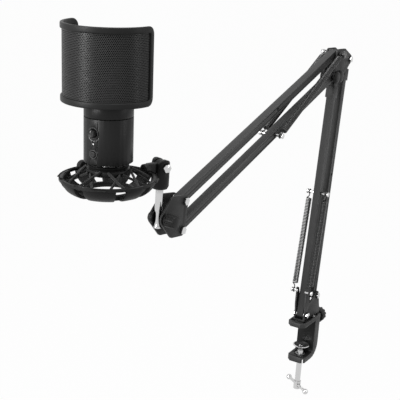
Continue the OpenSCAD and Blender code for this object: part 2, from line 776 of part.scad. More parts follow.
module grille_cap() {
    color("#1d1e20") at_mic() translate([0, 0, head_z + head_h - 6]) difference() {
        union() {
            cylinder(r = mic_r, h = 3, $fn = 96);
            translate([0, 0, 3]) cylinder(r1 = mic_r, r2 = mic_r - 4, h = 3, $fn = 96);
        }
        translate([0, 0, -1]) cylinder(r = mic_r - 4, h = 5, $fn = 96);
    }
}

capsule_z = head_z + 36;

module capsule() {
    color("#c9a34a") at_mic() translate([-2.5, 0, capsule_z]) rotate([0, 90, 0]) cylinder(r = 12.5, h = 5);
}

module capsule_holder() {
    color("#2a2b2e") at_mic() {
        difference() {
            translate([-5, 0, capsule_z]) rotate([0, 90, 0]) cylinder(r = 15, h = 10);
            translate([-6, 0, capsule_z]) rotate([0, 90, 0]) cylinder(r = 12.5 + running, h = 12);
        }
        translate([-5, -5, head_z - 3]) cube([10, 10, capsule_z - head_z - 10]);
        translate([0, 0, head_z - 3]) cylinder(r = mic_r - 2 * shell - 0.1, h = 2.5, $fn = 96);
    }
}

module circuit_board() {
    color("#1e5a36") at_mic() translate([2, -17, 7]) cube([1.6, 34, body_h - 11]);
    color("#303134") at_mic() {
        translate([3.6, -6, 19]) cube([2.4, 12, 10]);
        translate([3.6, -4, 32]) cube([6, 8, 6]);
    }
}

module usb_socket() {
    color("#9a9da1") at_mic() difference() {
        translate([3.6, -usb_w / 2 + 0.3, usb_z - usb_h / 2 + 0.3])
            cube([mic_r - 3.6 - 1.4, usb_w - 0.6, usb_h - 0.6]);
        translate([mic_r - 8, -4.5, usb_z - 1.6]) cube([8, 9, 3.2]);
    }
}

module status_light() {
    color("#d8e6f0") at_mic() translate([-mic_r + 0.1, 0, light_z]) rotate([0, 90, 0]) cylinder(r = 0.9, h = 4, $fn = 24);
}

module volume_knob() {
    color("#242527") at_mic() translate([0, 0, dial_z]) {
        translate([-mic_r - 4.6, 0, 0]) rotate([0, 90, 0]) cylinder(r = dial_hole_r - near_fit, h = 7.5);
        translate([-mic_r, 0, 0]) rotate([0, 90, 0]) cylinder(r = 1.5, h = mic_r + 1.8);
    }
}

module mute_button() {
    color("#242527") at_mic() translate([0, 0, mute_z]) {
        translate([-mic_r - 1.6, 0, 0]) rotate([0, 90, 0]) cylinder(r = mute_hole_r - near_fit, h = 5);
        translate([-mic_r + 2.5, 0, 0]) rotate([0, 90, 0]) cylinder(r = mute_hole_r + 1, h = 1);
    }
}

// ---- pop filter ----------------------------------------------------------------------------------------------------

strap_h = 5;
strap_levels = [12, 46];   // heights of the two straps above the filter's lower edge

module at_filter() { at_mic() translate([0, 0, filter_lift]) children(); }

module filter_frame() {
    edge = frame_w / filter_r * 180 / PI;
    color("#151618") at_filter() difference() {
        arc_wall(filter_r - frame_t, filter_r, 0, filter_h, filter_half);
        arc_wall(filter_r - frame_t - 1, filter_r + 1, frame_w, filter_h - frame_w, filter_half - edge);
        arc_wall(filter_r - frame_t / 2 - 0.5, filter_r - frame_t / 2 + 0.5, frame_w - 2, filter_h - frame_w + 2,
                 filter_half - edge * 0.6);
    }
}

module filter_mesh() {
    edge = frame_w / filter_r * 180 / PI;
    r = filter_r - frame_t / 2;
    color("#2b2c2f") at_filter()
        arc_wall(r - 0.3, r + 0.3, frame_w - 1.8, filter_h - frame_w + 1.8, filter_half - edge * 0.66);
}

module filter_lining() {
    edge = frame_w / filter_r * 180 / PI;
    r = filter_r - frame_t / 2;
    color("#0f1011") at_filter() arc_wall(r - 1.1, r - 0.5, frame_w + 0.4, filter_h - frame_w - 0.4, filter_half - edge - 0.6);
}

module filter_straps() {
    // Two elastic bands that lie on the back of the head and run straight to the filter's upright ends
    reach = filter_r - frame_t - 0.2;
    r_in = mic_r + 0.3;
    lie = 184 - filter_half - acos((r_in + strap_t) / reach);
    free = sqrt(pow(reach, 2) - pow(r_in + strap_t, 2));
    r_out = r_in + strap_t;
    start = [r_out * cos(lie), r_out * sin(lie)];
    outer = [for (i = [-8 : 8]) [r_out * cos(lie * i / 8), r_out * sin(lie * i / 8)]];
    inner = [for (i = [8 : -1 : -8]) [r_in * cos(lie * i / 8), r_in * sin(lie * i / 8)]];
    far_out = [start[0] - free * sin(lie), start[1] + free * cos(lie)];
    far_in = [far_out[0] - strap_t * cos(lie), far_out[1] - strap_t * sin(lie)];
    color("#101112") at_filter() for (z = strap_levels) translate([0, 0, z]) linear_extrude(strap_h) polygon(concat(
        [[far_out[0], -far_out[1]]], outer, [far_out, far_in], inner, [[far_in[0], -far_in[1]]]
    ));
}
strap_t = 1.4;

// ---- drawing -------------------------------------------------------------------------------------------------------

clamp_bracket();
pivot_bush();
jaw_nut();
swivel_lock_knob();
pressure_cup();
clamp_screw();
tommy_bar();
base_bracket();
base_pin();
base_bolts();
base_washers();
lower_spring_pins();
lower_front_bar();
lower_rear_bar();
lower_spring_bolt();
lower_spring_near();
lower_spring_far();
elbow_plate_near();
elbow_plate_far();
elbow_bolts();
elbow_washers();
upper_bottom_bar();
upper_top_bar();
upper_spring_bolt();
upper_spring_near();
upper_spring_far();
wrist_plate_near();
wrist_plate_far();
wrist_bolts();
wrist_washers();
tilt_barrel();
tilt_knob();
mic_post();
swivel_housing();
tilt_bolt();
shock_cage();
elastic_cords();
mic_cradle();
cradle_stud();
mic_body();
bottom_cap();
metal_band();
head_grille();
grille_cap();
capsule();
capsule_holder();
circuit_board();
usb_socket();
status_light();
volume_knob();
mute_button();
filter_frame();
filter_mesh();
filter_lining();
filter_straps();
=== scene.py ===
"""Looks of a condenser microphone kit: microphone with pop filter, elastic shock mount, spring arm and desk clamp.

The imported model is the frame. Places and sizes come from its nodes and joints, in metres.
"""

import json
from math import acos, atan2, cos, hypot, pi, radians, sin

import bmesh
import bpy
from mathutils import Matrix, Vector


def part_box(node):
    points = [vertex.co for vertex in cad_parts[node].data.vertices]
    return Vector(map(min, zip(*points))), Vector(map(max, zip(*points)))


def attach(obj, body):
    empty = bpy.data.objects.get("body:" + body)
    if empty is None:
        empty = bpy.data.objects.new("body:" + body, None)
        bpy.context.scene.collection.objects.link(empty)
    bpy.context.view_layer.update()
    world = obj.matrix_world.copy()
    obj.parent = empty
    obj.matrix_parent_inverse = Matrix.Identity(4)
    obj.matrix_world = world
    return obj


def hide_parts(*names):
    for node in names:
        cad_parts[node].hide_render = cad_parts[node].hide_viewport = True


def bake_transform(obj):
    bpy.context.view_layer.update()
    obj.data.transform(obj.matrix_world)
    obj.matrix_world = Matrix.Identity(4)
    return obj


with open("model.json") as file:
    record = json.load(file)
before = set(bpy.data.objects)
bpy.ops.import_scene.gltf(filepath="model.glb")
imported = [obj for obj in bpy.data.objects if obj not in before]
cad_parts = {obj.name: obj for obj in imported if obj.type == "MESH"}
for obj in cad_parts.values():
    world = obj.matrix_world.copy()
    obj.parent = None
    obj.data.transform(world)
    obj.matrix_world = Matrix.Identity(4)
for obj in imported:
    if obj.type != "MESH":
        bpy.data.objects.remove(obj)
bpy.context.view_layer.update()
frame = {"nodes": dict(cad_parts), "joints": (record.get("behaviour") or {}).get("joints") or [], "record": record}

MM = 0.001
JOINT = {joint["name"]: joint for joint in frame["joints"]}

# Camera: where it stands, which way it looks, and its lens
CAMERA_PLACE = Vector((-1.1770, -0.5019, 0.5278))
CAMERA_AZIMUTH = radians(-59.6)
CAMERA_PITCH = radians(15.6)
CAMERA_ROLL = radians(-3.8)
CAMERA_LENS = 83.9

FLOOR_LEVEL = -0.75     # the clamp holds a desk top this far above the floor

# Light: the even light of the world, how white the floor looks by itself, and the soft lights by azimuth, elevation,
# distance, size and watts
WORLD_FILL = 0.3
FLOOR_GLOW = 0.97
SOFT_LIGHTS = {
    "left_box": (-112, 20, 1.5, (0.4, 1.4), 32),
    "right_box": (12, 18, 1.6, (0.3, 1.3), 6),
    "top_box": (-60, 78, 1.5, (1.0, 0.8), 18),
}


# ---- places on the frame --------------------------------------------------------------------------------------------


def pivot(name):
    """The point that a joint turns about."""
    return Vector(JOINT[name]["pos_m"])


def middle(node):
    """The centre of a node's box."""
    low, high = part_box(node)
    return (low + high) / 2


def span(node):
    """The size of a node's box."""
    low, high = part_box(node)
    return high - low


# ---- shader node groups ---------------------------------------------------------------------------------------------


def new_group(name, inputs, outputs):
    """A shader node group with its named sockets, and its input and output nodes."""
    group = bpy.data.node_groups.new(name, "ShaderNodeTree")
    for label, kind, value in inputs:
        socket = group.interface.new_socket(name=label, in_out="INPUT", socket_type="NodeSocket" + kind)
        socket.default_value = value
    for label, kind in outputs:
        group.interface.new_socket(name=label, in_out="OUTPUT", socket_type="NodeSocket" + kind)
    return group, group.nodes.new("NodeGroupInput"), group.nodes.new("NodeGroupOutput")


def feed(tree, socket, value):
    """Links a socket to another one, or gives it a plain value."""
    if isinstance(value, bpy.types.NodeSocket):
        tree.links.new(value, socket)
    else:
        socket.default_value = value


def math_node(tree, operation, first, second=0.0):
    """A Math node whose two inputs are sockets or numbers; returns its output."""
    node = tree.nodes.new("ShaderNodeMath")
    node.operation = operation
    feed(tree, node.inputs[0], first)
    feed(tree, node.inputs[1], second)
    return node.outputs[0]


def noise_node(tree, vector, scale, detail=2.0):
    """A Noise Texture; scale is a number or a socket, in features per metre."""
    node = tree.nodes.new("ShaderNodeTexNoise")
    node.inputs["Detail"].default_value = detail
    tree.links.new(vector, node.inputs["Vector"])
    feed(tree, node.inputs["Scale"], scale)
    return node.outputs["Fac"]


def map_range(tree, value, low, high):
    """Turns a 0 to 1 value into the range from low to high, each a socket or a number."""
    node = tree.nodes.new("ShaderNodeMapRange")
    tree.links.new(value, node.inputs["Value"])
    feed(tree, node.inputs["To Min"], low)
    feed(tree, node.inputs["To Max"], high)
    return node.outputs["Result"]


def mix_colour(tree, factor, first, second):
    """A colour between first and second, each a socket or a colour."""
    node = tree.nodes.new("ShaderNodeMix")
    node.data_type = "RGBA"
    tree.links.new(factor, node.inputs["Factor"])
    feed(tree, node.inputs[6], first)
    feed(tree, node.inputs[7], second)
    return node.outputs[2]


def bump_node(tree, height, distance):
    """The normal of a height in metres."""
    node = tree.nodes.new("ShaderNodeBump")
    node.inputs["Strength"].default_value = 1.0
    tree.links.new(height, node.inputs["Height"])
    feed(tree, node.inputs["Distance"], distance)
    return node.outputs["Normal"]


def crevice_node(tree, distance):
    """How open a spot is: 0 deep in a crevice, 1 in the clear."""
    node = tree.nodes.new("ShaderNodeAmbientOcclusion")
    node.samples = 6
    node.inputs["Distance"].default_value = distance
    return node.outputs["AO"]


def grey(level, warmth=0.0):
    """A nearly neutral dark or light colour."""
    return (level * (1 + warmth), level, level * (1 - warmth), 1.0)


def grain_and_shade_group():
    """The fine grain of a coated or moulded surface, with slow changes of tone and gloss, and painted shade that
    darkens its crevices.
    """
    tree, given, made = new_group(
        "surface_grain_and_shade",
        [("Tone", "Color", (0.1, 0.1, 0.1, 1)), ("Light tone", "Color", (0.2, 0.2, 0.2, 1)),
         ("Grains per metre", "Float", 1500), ("Depth", "Float", 0.00003),
         ("Gloss low", "Float", 0.4), ("Gloss high", "Float", 0.6)],
        [("Color", "Color"), ("Roughness", "Float"), ("Normal", "Vector")])
    place = tree.nodes.new("ShaderNodeTexCoord").outputs["Object"]
    fine = noise_node(tree, place, given.outputs["Grains per metre"], 3.0)
    slow = noise_node(tree, place, 45.0, 4.0)
    blotch = math_node(tree, "ADD", math_node(tree, "MULTIPLY", fine, 0.45), math_node(tree, "MULTIPLY", slow, 0.55))
    links = tree.links
    tone = mix_colour(tree, blotch, given.outputs["Tone"], given.outputs["Light tone"])
    # painted shade: an ambient occlusion node darkens the colour towards grey(0.003) in crevices, where shade falls
    crevice_shade_mix = map_range(tree, crevice_node(tree, 14 * MM), 0.02, 1.0)
    links.new(mix_colour(tree, crevice_shade_mix, grey(0.003), tone), made.inputs["Color"])
    links.new(map_range(tree, slow, given.outputs["Gloss low"], given.outputs["Gloss high"]), made.inputs["Roughness"])
    links.new(bump_node(tree, fine, given.outputs["Depth"]), made.inputs["Normal"])
    return tree


def edge_wear_and_highlight_group():
    """A mask that is 1 along worn edges, broken up by noise; the lighter edges it gives are partly real wear and
    partly a painted edge highlight.
    """
    tree, given, made = new_group(
        "edge_wear_and_highlight", [("Width", "Float", 0.0005), ("Amount", "Float", 0.5)], [("Mask", "Float")])
    rounded = tree.nodes.new("ShaderNodeBevel")
    rounded.samples = 4
    tree.links.new(given.outputs["Width"], rounded.inputs["Radius"])
    facing = tree.nodes.new("ShaderNodeNewGeometry")
    turn = tree.nodes.new("ShaderNodeVectorMath")
    turn.operation = "DOT_PRODUCT"
    tree.links.new(rounded.outputs["Normal"], turn.inputs[0])
    tree.links.new(facing.outputs["True Normal"], turn.inputs[1])
    bend = math_node(tree, "MULTIPLY", math_node(tree, "SUBTRACT", 1.0, turn.outputs["Value"]), 6.0)
    place = tree.nodes.new("ShaderNodeTexCoord").outputs["Object"]
    broken = noise_node(tree, place, 400.0, 3.0)
    worn_edge_and_highlight = math_node(tree, "MULTIPLY", math_node(tree, "MINIMUM", bend, 1.0), broken)
    tree.links.new(math_node(tree, "MULTIPLY", worn_edge_and_highlight, given.outputs["Amount"]), made.inputs["Mask"])
    return tree


def brushed_group():
    """Fine drawn or turned marks along Z: roughness and normal."""
    tree, given, made = new_group(
        "brushed_marks",
        [("Marks per metre", "Float", 2500), ("Depth", "Float", 0.00001), ("Gloss low", "Float", 0.1),
         ("Gloss high", "Float", 0.3)],
        [("Roughness", "Float"), ("Normal", "Vector")])
    place = tree.nodes.new("ShaderNodeTexCoord").outputs["Object"]
    stretch = tree.nodes.new("ShaderNodeMapping")
    stretch.inputs["Scale"].default_value = (1.0, 1.0, 0.05)
    tree.links.new(place, stretch.inputs["Vector"])
    marks = noise_node(tree, stretch.outputs["Vector"], given.outputs["Marks per metre"], 2.0)
    slow = noise_node(tree, place, 60.0, 3.0)
    links = tree.links
    links.new(map_range(tree, slow, given.outputs["Gloss low"], given.outputs["Gloss high"]), made.inputs["Roughness"])
    links.new(bump_node(tree, marks, given.outputs["Depth"]), made.inputs["Normal"])
    return tree


def braid_group():
    """The crossed threads of a braided cord or woven band, on the piece's own UV map."""
    tree, given, made = new_group(
        "braid",
        [("Threads across", "Float", 6.0), ("Tone", "Color", (0.01, 0.01, 0.01, 1)),
         ("Light tone", "Color", (0.04, 0.04, 0.04, 1)), ("Depth", "Float", 0.0001)],
        [("Color", "Color"), ("Normal", "Vector")])
    uv = tree.nodes.new("ShaderNodeUVMap")
    uv.uv_map = "UVMap"
    parts = tree.nodes.new("ShaderNodeSeparateXYZ")
    tree.links.new(uv.outputs["UV"], parts.inputs["Vector"])
    rise = math_node(tree, "ADD", parts.outputs["X"], parts.outputs["Y"])
    fall = math_node(tree, "SUBTRACT", parts.outputs["X"], parts.outputs["Y"])
    waves = []
    for way in (rise, fall):
        turns = math_node(tree, "MULTIPLY", way, given.outputs["Threads across"])
        wave = math_node(tree, "SINE", math_node(tree, "MULTIPLY", turns, pi))
        waves.append(math_node(tree, "ABSOLUTE", wave))
    height = math_node(tree, "MULTIPLY", waves[0], waves[1])
    tree.links.new(mix_colour(tree, height, given.outputs["Tone"], given.outputs["Light tone"]), made.inputs["Color"])
    tree.links.new(bump_node(tree, height, given.outputs["Depth"]), made.inputs["Normal"])
    return tree


GROUP = {"grain_and_shade": grain_and_shade_group(), "edge": edge_wear_and_highlight_group(), "brushed": brushed_group(), "braid": braid_group()}


# ---- materials ------------------------------------------------------------------------------------------------------


def shader(name, **sockets):
    """A material and its Principled BSDF, with plain values on the named sockets."""
    material = bpy.data.materials.new(name)
    material.use_nodes = True
    bsdf = material.node_tree.nodes["Principled BSDF"]
    for label, value in sockets.items():
        bsdf.inputs[label.replace("_", " ")].default_value = value
    return material, material.node_tree, bsdf


def use_group(tree, kind, **values):
    """An instance of a shared node group with its own values."""
    node = tree.nodes.new("ShaderNodeGroup")
    node.node_tree = GROUP[kind]
    for label, value in values.items():
        node.inputs[label.replace("_", " ")].default_value = value
    return node


def coated(name, tone, light, grains, depth, gloss, specular, wear_and_highlight=0.0, wear_and_highlight_tone=grey(0.3), **extra):
    """Powder coat, lacquer or moulded plastic: grain over a tone with painted shade in its crevices, and lighter worn
    edges, partly real wear and partly a painted edge highlight, where the edge amount is above 0.
    """
    material, tree, bsdf = shader(name, Specular_IOR_Level=specular, **extra)
    grain_and_shade = use_group(tree, "grain_and_shade", Tone=tone, Light_tone=light, Grains_per_metre=grains, Depth=depth,
                      Gloss_low=gloss[0], Gloss_high=gloss[1])
    colour = grain_and_shade.outputs["Color"]
    # worn edges lightened to a light grey: partly real wear, partly a painted edge highlight
    if wear_and_highlight:
        edge = use_group(tree, "edge", Width=0.0007, Amount=wear_and_highlight)
        colour = mix_colour(tree, edge.outputs["Mask"], colour, wear_and_highlight_tone)
    tree.links.new(colour, bsdf.inputs["Base Color"])
    tree.links.new(grain_and_shade.outputs["Roughness"], bsdf.inputs["Roughness"])
    tree.links.new(grain_and_shade.outputs["Normal"], bsdf.inputs["Normal"])
    return material


def metal(name, colour, gloss, marks=2500.0, depth=0.000004):
    """Plated or bare metal with fine marks, and painted shade that darkens its crevices."""
    material, tree, bsdf = shader(name, Base_Color=colour, Metallic=1.0)
    brushed = use_group(tree, "brushed", Marks_per_metre=marks, Depth=depth, Gloss_low=gloss[0], Gloss_high=gloss[1])
    # painted shade: the colour falls to 0.12 of itself in crevices found by an ambient occlusion node
    crevice_shade_colour = tuple(level * 0.12 for level in colour[:3]) + (1.0,)
    tree.links.new(mix_colour(tree, crevice_node(tree, 6 * MM), crevice_shade_colour, colour), bsdf.inputs["Base Color"])
    tree.links.new(brushed.outputs["Roughness"], bsdf.inputs["Roughness"])
    tree.links.new(brushed.outputs["Normal"], bsdf.inputs["Normal"])
    return material


def woven(name, threads, tone, light, depth):
    """Braided elastic."""
    material, tree, bsdf = shader(name, Roughness=0.85, Specular_IOR_Level=0.2, Sheen_Weight=0.15)
    braid = use_group(tree, "braid", Threads_across=threads, Tone=tone, Light_tone=light, Depth=depth)
    tree.links.new(braid.outputs["Color"], bsdf.inputs["Base Color"])
    tree.links.new(braid.outputs["Normal"], bsdf.inputs["Normal"])
    return material


MATERIAL = {
    # on the three paints the last number lightens worn edges, partly real wear and partly a painted edge highlight
    "bar_paint": coated("bar_powder_coat", grey(0.02), grey(0.034), 1400, 0.00006, (0.46, 0.58), 0.2, 0.3),
    "bracket_paint": coated("bracket_powder_coat", grey(0.015), grey(0.026), 1300, 0.00006, (0.46, 0.58), 0.18, 0.3),
    "clamp_paint": coated("clamp_powder_coat", grey(0.02), grey(0.034), 1200, 0.00007, (0.46, 0.58), 0.2, 0.4),
    "black_plastic": coated("moulded_plastic", grey(0.006), grey(0.011), 1800, 0.00003, (0.34, 0.46), 0.14),
    "cage_plastic": coated("moulded_nylon", grey(0.006), grey(0.011), 1500, 0.00004, (0.38, 0.5), 0.14),
    "mic_paint": coated("microphone_lacquer", grey(0.007), grey(0.011), 5000, 0.00001, (0.36, 0.42), 0.16),
    "knob_finish": coated("knob_soft_touch", grey(0.012), grey(0.018), 4000, 0.00001, (0.4, 0.48), 0.18),
    "grille": coated("grille_lacquer", grey(0.02), grey(0.03), 3000, 0.00001, (0.34, 0.44), 0.25),
    "filter_mesh": coated("filter_sheet_lacquer", grey(0.02), grey(0.034), 3000, 0.00001, (0.3, 0.4), 0.22),
    "filter_rubber": coated("filter_rubber", grey(0.007), grey(0.012), 2600, 0.00003, (0.38, 0.48), 0.15),
    "foam": coated("filter_gauze", grey(0.006), grey(0.012), 1600, 0.0002, (0.9, 1.0), 0.1, Alpha=0.93),
    "spring_wire": coated("spring_black_oxide", grey(0.014), grey(0.022), 2500, 0.00001, (0.2, 0.3), 0.5),
    "board": coated("board_solder_mask", (0.01, 0.06, 0.025, 1), (0.015, 0.08, 0.035, 1), 900, 0.00001,
                    (0.3, 0.4), 0.5),
    "light": coated("light_pipe", grey(0.55), grey(0.7), 900, 0.000001, (0.15, 0.2), 0.5),
    "print": coated("printed_marks", grey(0.35), grey(0.45), 900, 0.000001, (0.5, 0.6), 0.3),
    "chrome": metal("chrome_plate", grey(0.6), (0.06, 0.13)),
    "zinc": metal("zinc_plate", grey(0.4), (0.25, 0.4)),
    "socket_steel": metal("nickel_shell", grey(0.5), (0.2, 0.3)),
    "capsule_gold": metal("gold_diaphragm", (0.75, 0.5, 0.2, 1), (0.15, 0.25)),
    "elastic": woven("braided_elastic", 6.0, grey(0.006), grey(0.02), 0.00015),
}


# ---- finishing the nodes that stay as the frame has them ------------------------------------------------------------


def dress(node, finish, round_edge=0.25 * MM):
    """Gives a node its finish, joins its facets, and rounds its edges a little."""
    piece = frame["nodes"][node]
    piece.data.materials.clear()
    piece.data.materials.append(MATERIAL[finish])
    piece.data.polygons.foreach_set("use_smooth", [True] * len(piece.data.polygons))
    joined = piece.modifiers.new("joined facets", "WELD")
    joined.merge_threshold = 0.002 * MM
    edges = piece.modifiers.new("rounded edges", "BEVEL")
    edges.width = round_edge
    edges.segments = 2
    edges.limit_method = "ANGLE"
    edges.angle_limit = radians(38)
    edges.harden_normals = True


def second_finish(node, finish, chosen):
    """Gives a second finish to the faces of a node that a test of their centre and normal picks."""
    piece = frame["nodes"][node]
    piece.data.materials.append(MATERIAL[finish])
    for face in piece.data.polygons:
        if chosen(piece.matrix_world @ face.center, face.normal):
            face.material_index = 1


# ---- building new pieces --------------------------------------------------------------------------------------------


def add_piece(name, bm, finish, body=None, replaces=(), sharp=35):
    """Turns a bmesh into a smooth-shaded piece with sharp edges past an angle, riding on a body."""
    limit = radians(sharp)
    for face in bm.faces:
        face.smooth = True
    for edge in bm.edges:
        edge.smooth = len(edge.link_faces) != 2 or edge.calc_face_angle(0) < limit
    mesh = bpy.data.meshes.new(name)
    bm.to_mesh(mesh)
    bm.free()
    mesh.materials.append(MATERIAL[finish])
    piece = bpy.data.objects.new(name, mesh)
    bpy.context.scene.collection.objects.link(piece)
    if body:
        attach(piece, body)
    if replaces:
        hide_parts(*replaces)
    return piece


def soften(bm, radius, segments=3, angle=30):
    """Rounds every edge that turns by more than the angle."""
    edges = [e for e in bm.edges if len(e.link_faces) == 2 and e.calc_face_angle(0) > radians(angle)]
    bmesh.ops.bevel(bm, geom=edges, offset=radius, offset_type="OFFSET", segments=segments, profile=0.5,
                    affect="EDGES", clamp_overlap=True, material=-1)


def lathe(profile, steps=96):
    """A closed solid turned about Z from a profile of (radius, height) points."""
    bm = bmesh.new()
    points = [bm.verts.new((r, 0, z)) for r, z in profile]
    edges = [bm.edges.new(pair) for pair in zip(points, points[1:])]
    bmesh.ops.spin(bm, geom=points + edges, cent=(0, 0, 0), axis=(0, 0, 1), dvec=(0, 0, 0), angle=2 * pi,
                   steps=steps, use_merge=True, use_normal_flip=False, use_duplicate=False)
    bmesh.ops.remove_doubles(bm, verts=bm.verts, dist=1e-7)
    bmesh.ops.recalc_face_normals(bm, faces=bm.faces)
    return bm


def block(size, centre=(0, 0, 0)):
    """A box."""
    bm = bmesh.new()
    bmesh.ops.create_cube(bm, size=1.0, matrix=Matrix.Translation(centre) @ Matrix.Diagonal((*size, 1)))
    return bm


def move(bm, matrix):
    """Moves a whole bmesh and gives it back."""
    bmesh.ops.transform(bm, matrix=matrix, verts=bm.verts)
    return bm


def join(*parts):
    """Puts several bmeshes into the first one."""
    whole = parts[0]
    for part in parts[1:]:
        mesh = bpy.data.meshes.new("part")
        part.to_mesh(mesh)
        part.free()
        whole.from_mesh(mesh)
        bpy.data.meshes.remove(mesh)
    return whole


def outline(bm, points):
    """A closed loop of edges through points."""
    verts = [bm.verts.new(point) for point in points]
    return verts, [bm.edges.new((verts[k - 1], verts[k])) for k in range(len(verts))]


def sweep(rings, closed=False, uv_scale=1.0):
    """A closed section extruded from ring to ring, with a UV map that runs round and along it."""
    bm = bmesh.new()
    layer = bm.loops.layers.uv.new("UVMap")
    verts, edges = outline(bm, rings[0])
    first_verts, first_edges = verts, edges
    sides = len(verts)
    place = {vert: (0, k) for k, vert in enumerate(verts)}
    run = [0.0]
    for i, ring in enumerate(rings[1:], 1):
        made = bmesh.ops.extrude_edge_only(bm, edges=edges)["geom"]
        fresh = {item for item in made if isinstance(item, bmesh.types.BMVert)}
        verts = [next(e.other_vert(v) for e in v.link_edges if e.other_vert(v) in fresh) for v in verts]
        edges = [item for item in made if isinstance(item, bmesh.types.BMEdge)
                 and item.verts[0] in fresh and item.verts[1] in fresh]
        for k, (vert, point) in enumerate(zip(verts, ring)):
            vert.co = point
            place[vert] = (i, k)
        run.append(run[-1] + (ring[0] - rings[i - 1][0]).length)
    if closed:
        bmesh.ops.bridge_loops(bm, edges=edges + first_edges)
        run.append(run[-1] + (rings[0][0] - rings[-1][0]).length)
    else:
        bm.faces.new(verts)
        bm.faces.new(first_verts)
    girth = sum((rings[0][k] - rings[0][k - 1]).length for k in range(sides))
    last = len(rings) - 1
    for face in bm.faces:
        if len(face.verts) != 4:
            continue
        spots = [place[loop.vert] for loop in face.loops]
        over_k = {k for _, k in spots} == {0, sides - 1}
        over_i = {i for i, _ in spots} == {0, last} and last > 1
        for loop, (i, k) in zip(face.loops, spots):
            around = sides if over_k and k == 0 else k
            along = last + 1 if over_i and i == 0 else i
            loop[layer].uv = (around / sides * uv_scale, run[along] / girth * uv_scale)
    bmesh.ops.recalc_face_normals(bm, faces=bm.faces)
    return bm


def tube(points, radius, sides=10, uv_scale=1.0):
    """A round cord along points."""
    points = [Vector(point) for point in points]
    side, rings = None, []
    for i, point in enumerate(points):
        along = (points[min(i + 1, len(points) - 1)] - points[max(i - 1, 0)]).normalized()
        side = side or along.orthogonal()
        side = (side - along * side.dot(along)).normalized()
        up = along.cross(side)
        rings.append([point + radius * (cos(2 * pi * k / sides) * side + sin(2 * pi * k / sides) * up)
                      for k in range(sides)])
    return sweep(rings, uv_scale=uv_scale)


# ---- balance springs ------------------------------------------------------------------------------------------------

WIRE = 0.8 * MM
COIL_OUT = span("lower_spring_near").y / 2
HOOK = 10 * MM
EYE = 2.9 * MM
COIL_PITCH = 2.15 * MM


def coil_spring(name, node, start, end):
    """A helical tension spring with a round hook at each end, from pin to pin."""
    along = end - start
    length = along.length
    radius = COIL_OUT - WIRE
    turns = round((length - 2 * HOOK) / COIL_PITCH)
    per_turn, sides = 20, 8
    coil = bmesh.new()
    ring = bmesh.ops.create_circle(coil, segments=sides, radius=WIRE, cap_ends=False)["verts"]
    bmesh.ops.transform(coil, matrix=Matrix.Translation((radius, 0, 0)) @ Matrix.Rotation(pi / 2, 4, "X"), verts=ring)
    steps = turns * per_turn
    bmesh.ops.spin(coil, geom=coil.verts[:] + coil.edges[:], cent=(0, 0, 0), axis=(0, 0, 1),
                   dvec=(0, 0, (length - 2 * HOOK) / steps), angle=2 * pi * turns, steps=steps,
                   use_merge=False, use_normal_flip=False, use_duplicate=False)
    bmesh.ops.holes_fill(coil, edges=[e for e in coil.edges if e.is_boundary], sides=0)
    move(coil, Matrix.Translation((0, 0, HOOK)))
    hooks = []
    for foot, way in ((0.0, 1), (length, -1)):
        # from the coil's rim in to the axis, then round the pin
        path = [(radius * cos(a) * (1 - t), radius * sin(a) * (1 - t) * 0.6,
                 foot + way * (HOOK - t * (HOOK - 2 * EYE)))
                for t, a in ((k / 8, pi * k / 16) for k in range(9))]
        eye = [(0, EYE * sin(a), foot + way * EYE * (1 + cos(a)) - way * EYE)
               for a in (2 * pi * k / 24 for k in range(23))]
        hooks.append(tube(path[:-1] + eye, WIRE * 0.95, sides))
    bm = join(coil, *hooks)
    bmesh.ops.recalc_face_normals(bm, faces=bm.faces)
    turn = Vector((0, 0, 1)).rotation_difference(along).to_matrix().to_4x4()
    move(bm, Matrix.Translation(start) @ turn @ Matrix.Rotation(pi / 2, 4, "Z"))
    piece = add_piece(name, bm, "spring_wire", replaces=(node,), sharp=60)
    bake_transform(piece)


def build_springs():
    """The two springs of the lower arm and the two of the upper arm."""
    for side in ("near", "far"):
        level = Vector((0, middle("lower_spring_" + side).y, 0))
        pin = middle("lower_spring_pins") * Vector((1, 0, 1)) + level
        bolt = middle("lower_spring_bolt") * Vector((1, 0, 1)) + level
        coil_spring("lower_coil_" + side, "lower_spring_" + side, pin, bolt)
        level = Vector((0, middle("upper_spring_" + side).y, 0))
        bolt = middle("upper_spring_bolt") * Vector((1, 0, 1)) + level
        top = pivot("upper_top_hinge") + level
        coil_spring("upper_coil_" + side, "upper_spring_" + side, top, bolt)


# ---- rounded sections -----------------------------------------------------------------------------------------------


def rounded_path(width, height, radius, bend=6, longest=4 * MM):
    """Points and outward directions round a centred rounded rectangle, no two further apart than longest."""
    marks = []
    for sx, sy, start in ((1, 1, 0), (-1, 1, 90), (-1, -1, 180), (1, -1, 270)):
        centre = Vector((sx * (width / 2 - radius), sy * (height / 2 - radius)))
        for k in range(bend + 1):
            a = radians(start + 90 * k / bend)
            way = Vector((cos(a), sin(a)))
            marks.append((centre + radius * way, way))
    path = []
    for (point, way), (after, _) in zip(marks, marks[1:] + marks[:1]):
        pieces = max(1, int((after - point).length / longest + 0.5))
        path += [(point.lerp(after, k / pieces), way) for k in range(pieces)]
    return path


def turned_section(section, steps, start=0.0, angle=360.0):
    """A closed section of (radius, height) points spun about Z, all the way or through an angle with closed ends."""
    bm = bmesh.new()
    verts, edges = outline(bm, [Vector((r * cos(radians(start)), r * sin(radians(start)), z)) for r, z in section])
    whole = angle >= 360.0
    shape = verts + edges if whole else verts + edges + [bm.faces.new(verts)]
    bmesh.ops.spin(bm, geom=shape, cent=(0, 0, 0), axis=(0, 0, 1), dvec=(0, 0, 0), angle=radians(angle), steps=steps,
                   use_merge=whole, use_normal_flip=False, use_duplicate=False)
    bmesh.ops.remove_doubles(bm, verts=bm.verts, dist=1e-7)
    bmesh.ops.recalc_face_normals(bm, faces=bm.faces)
    return bm


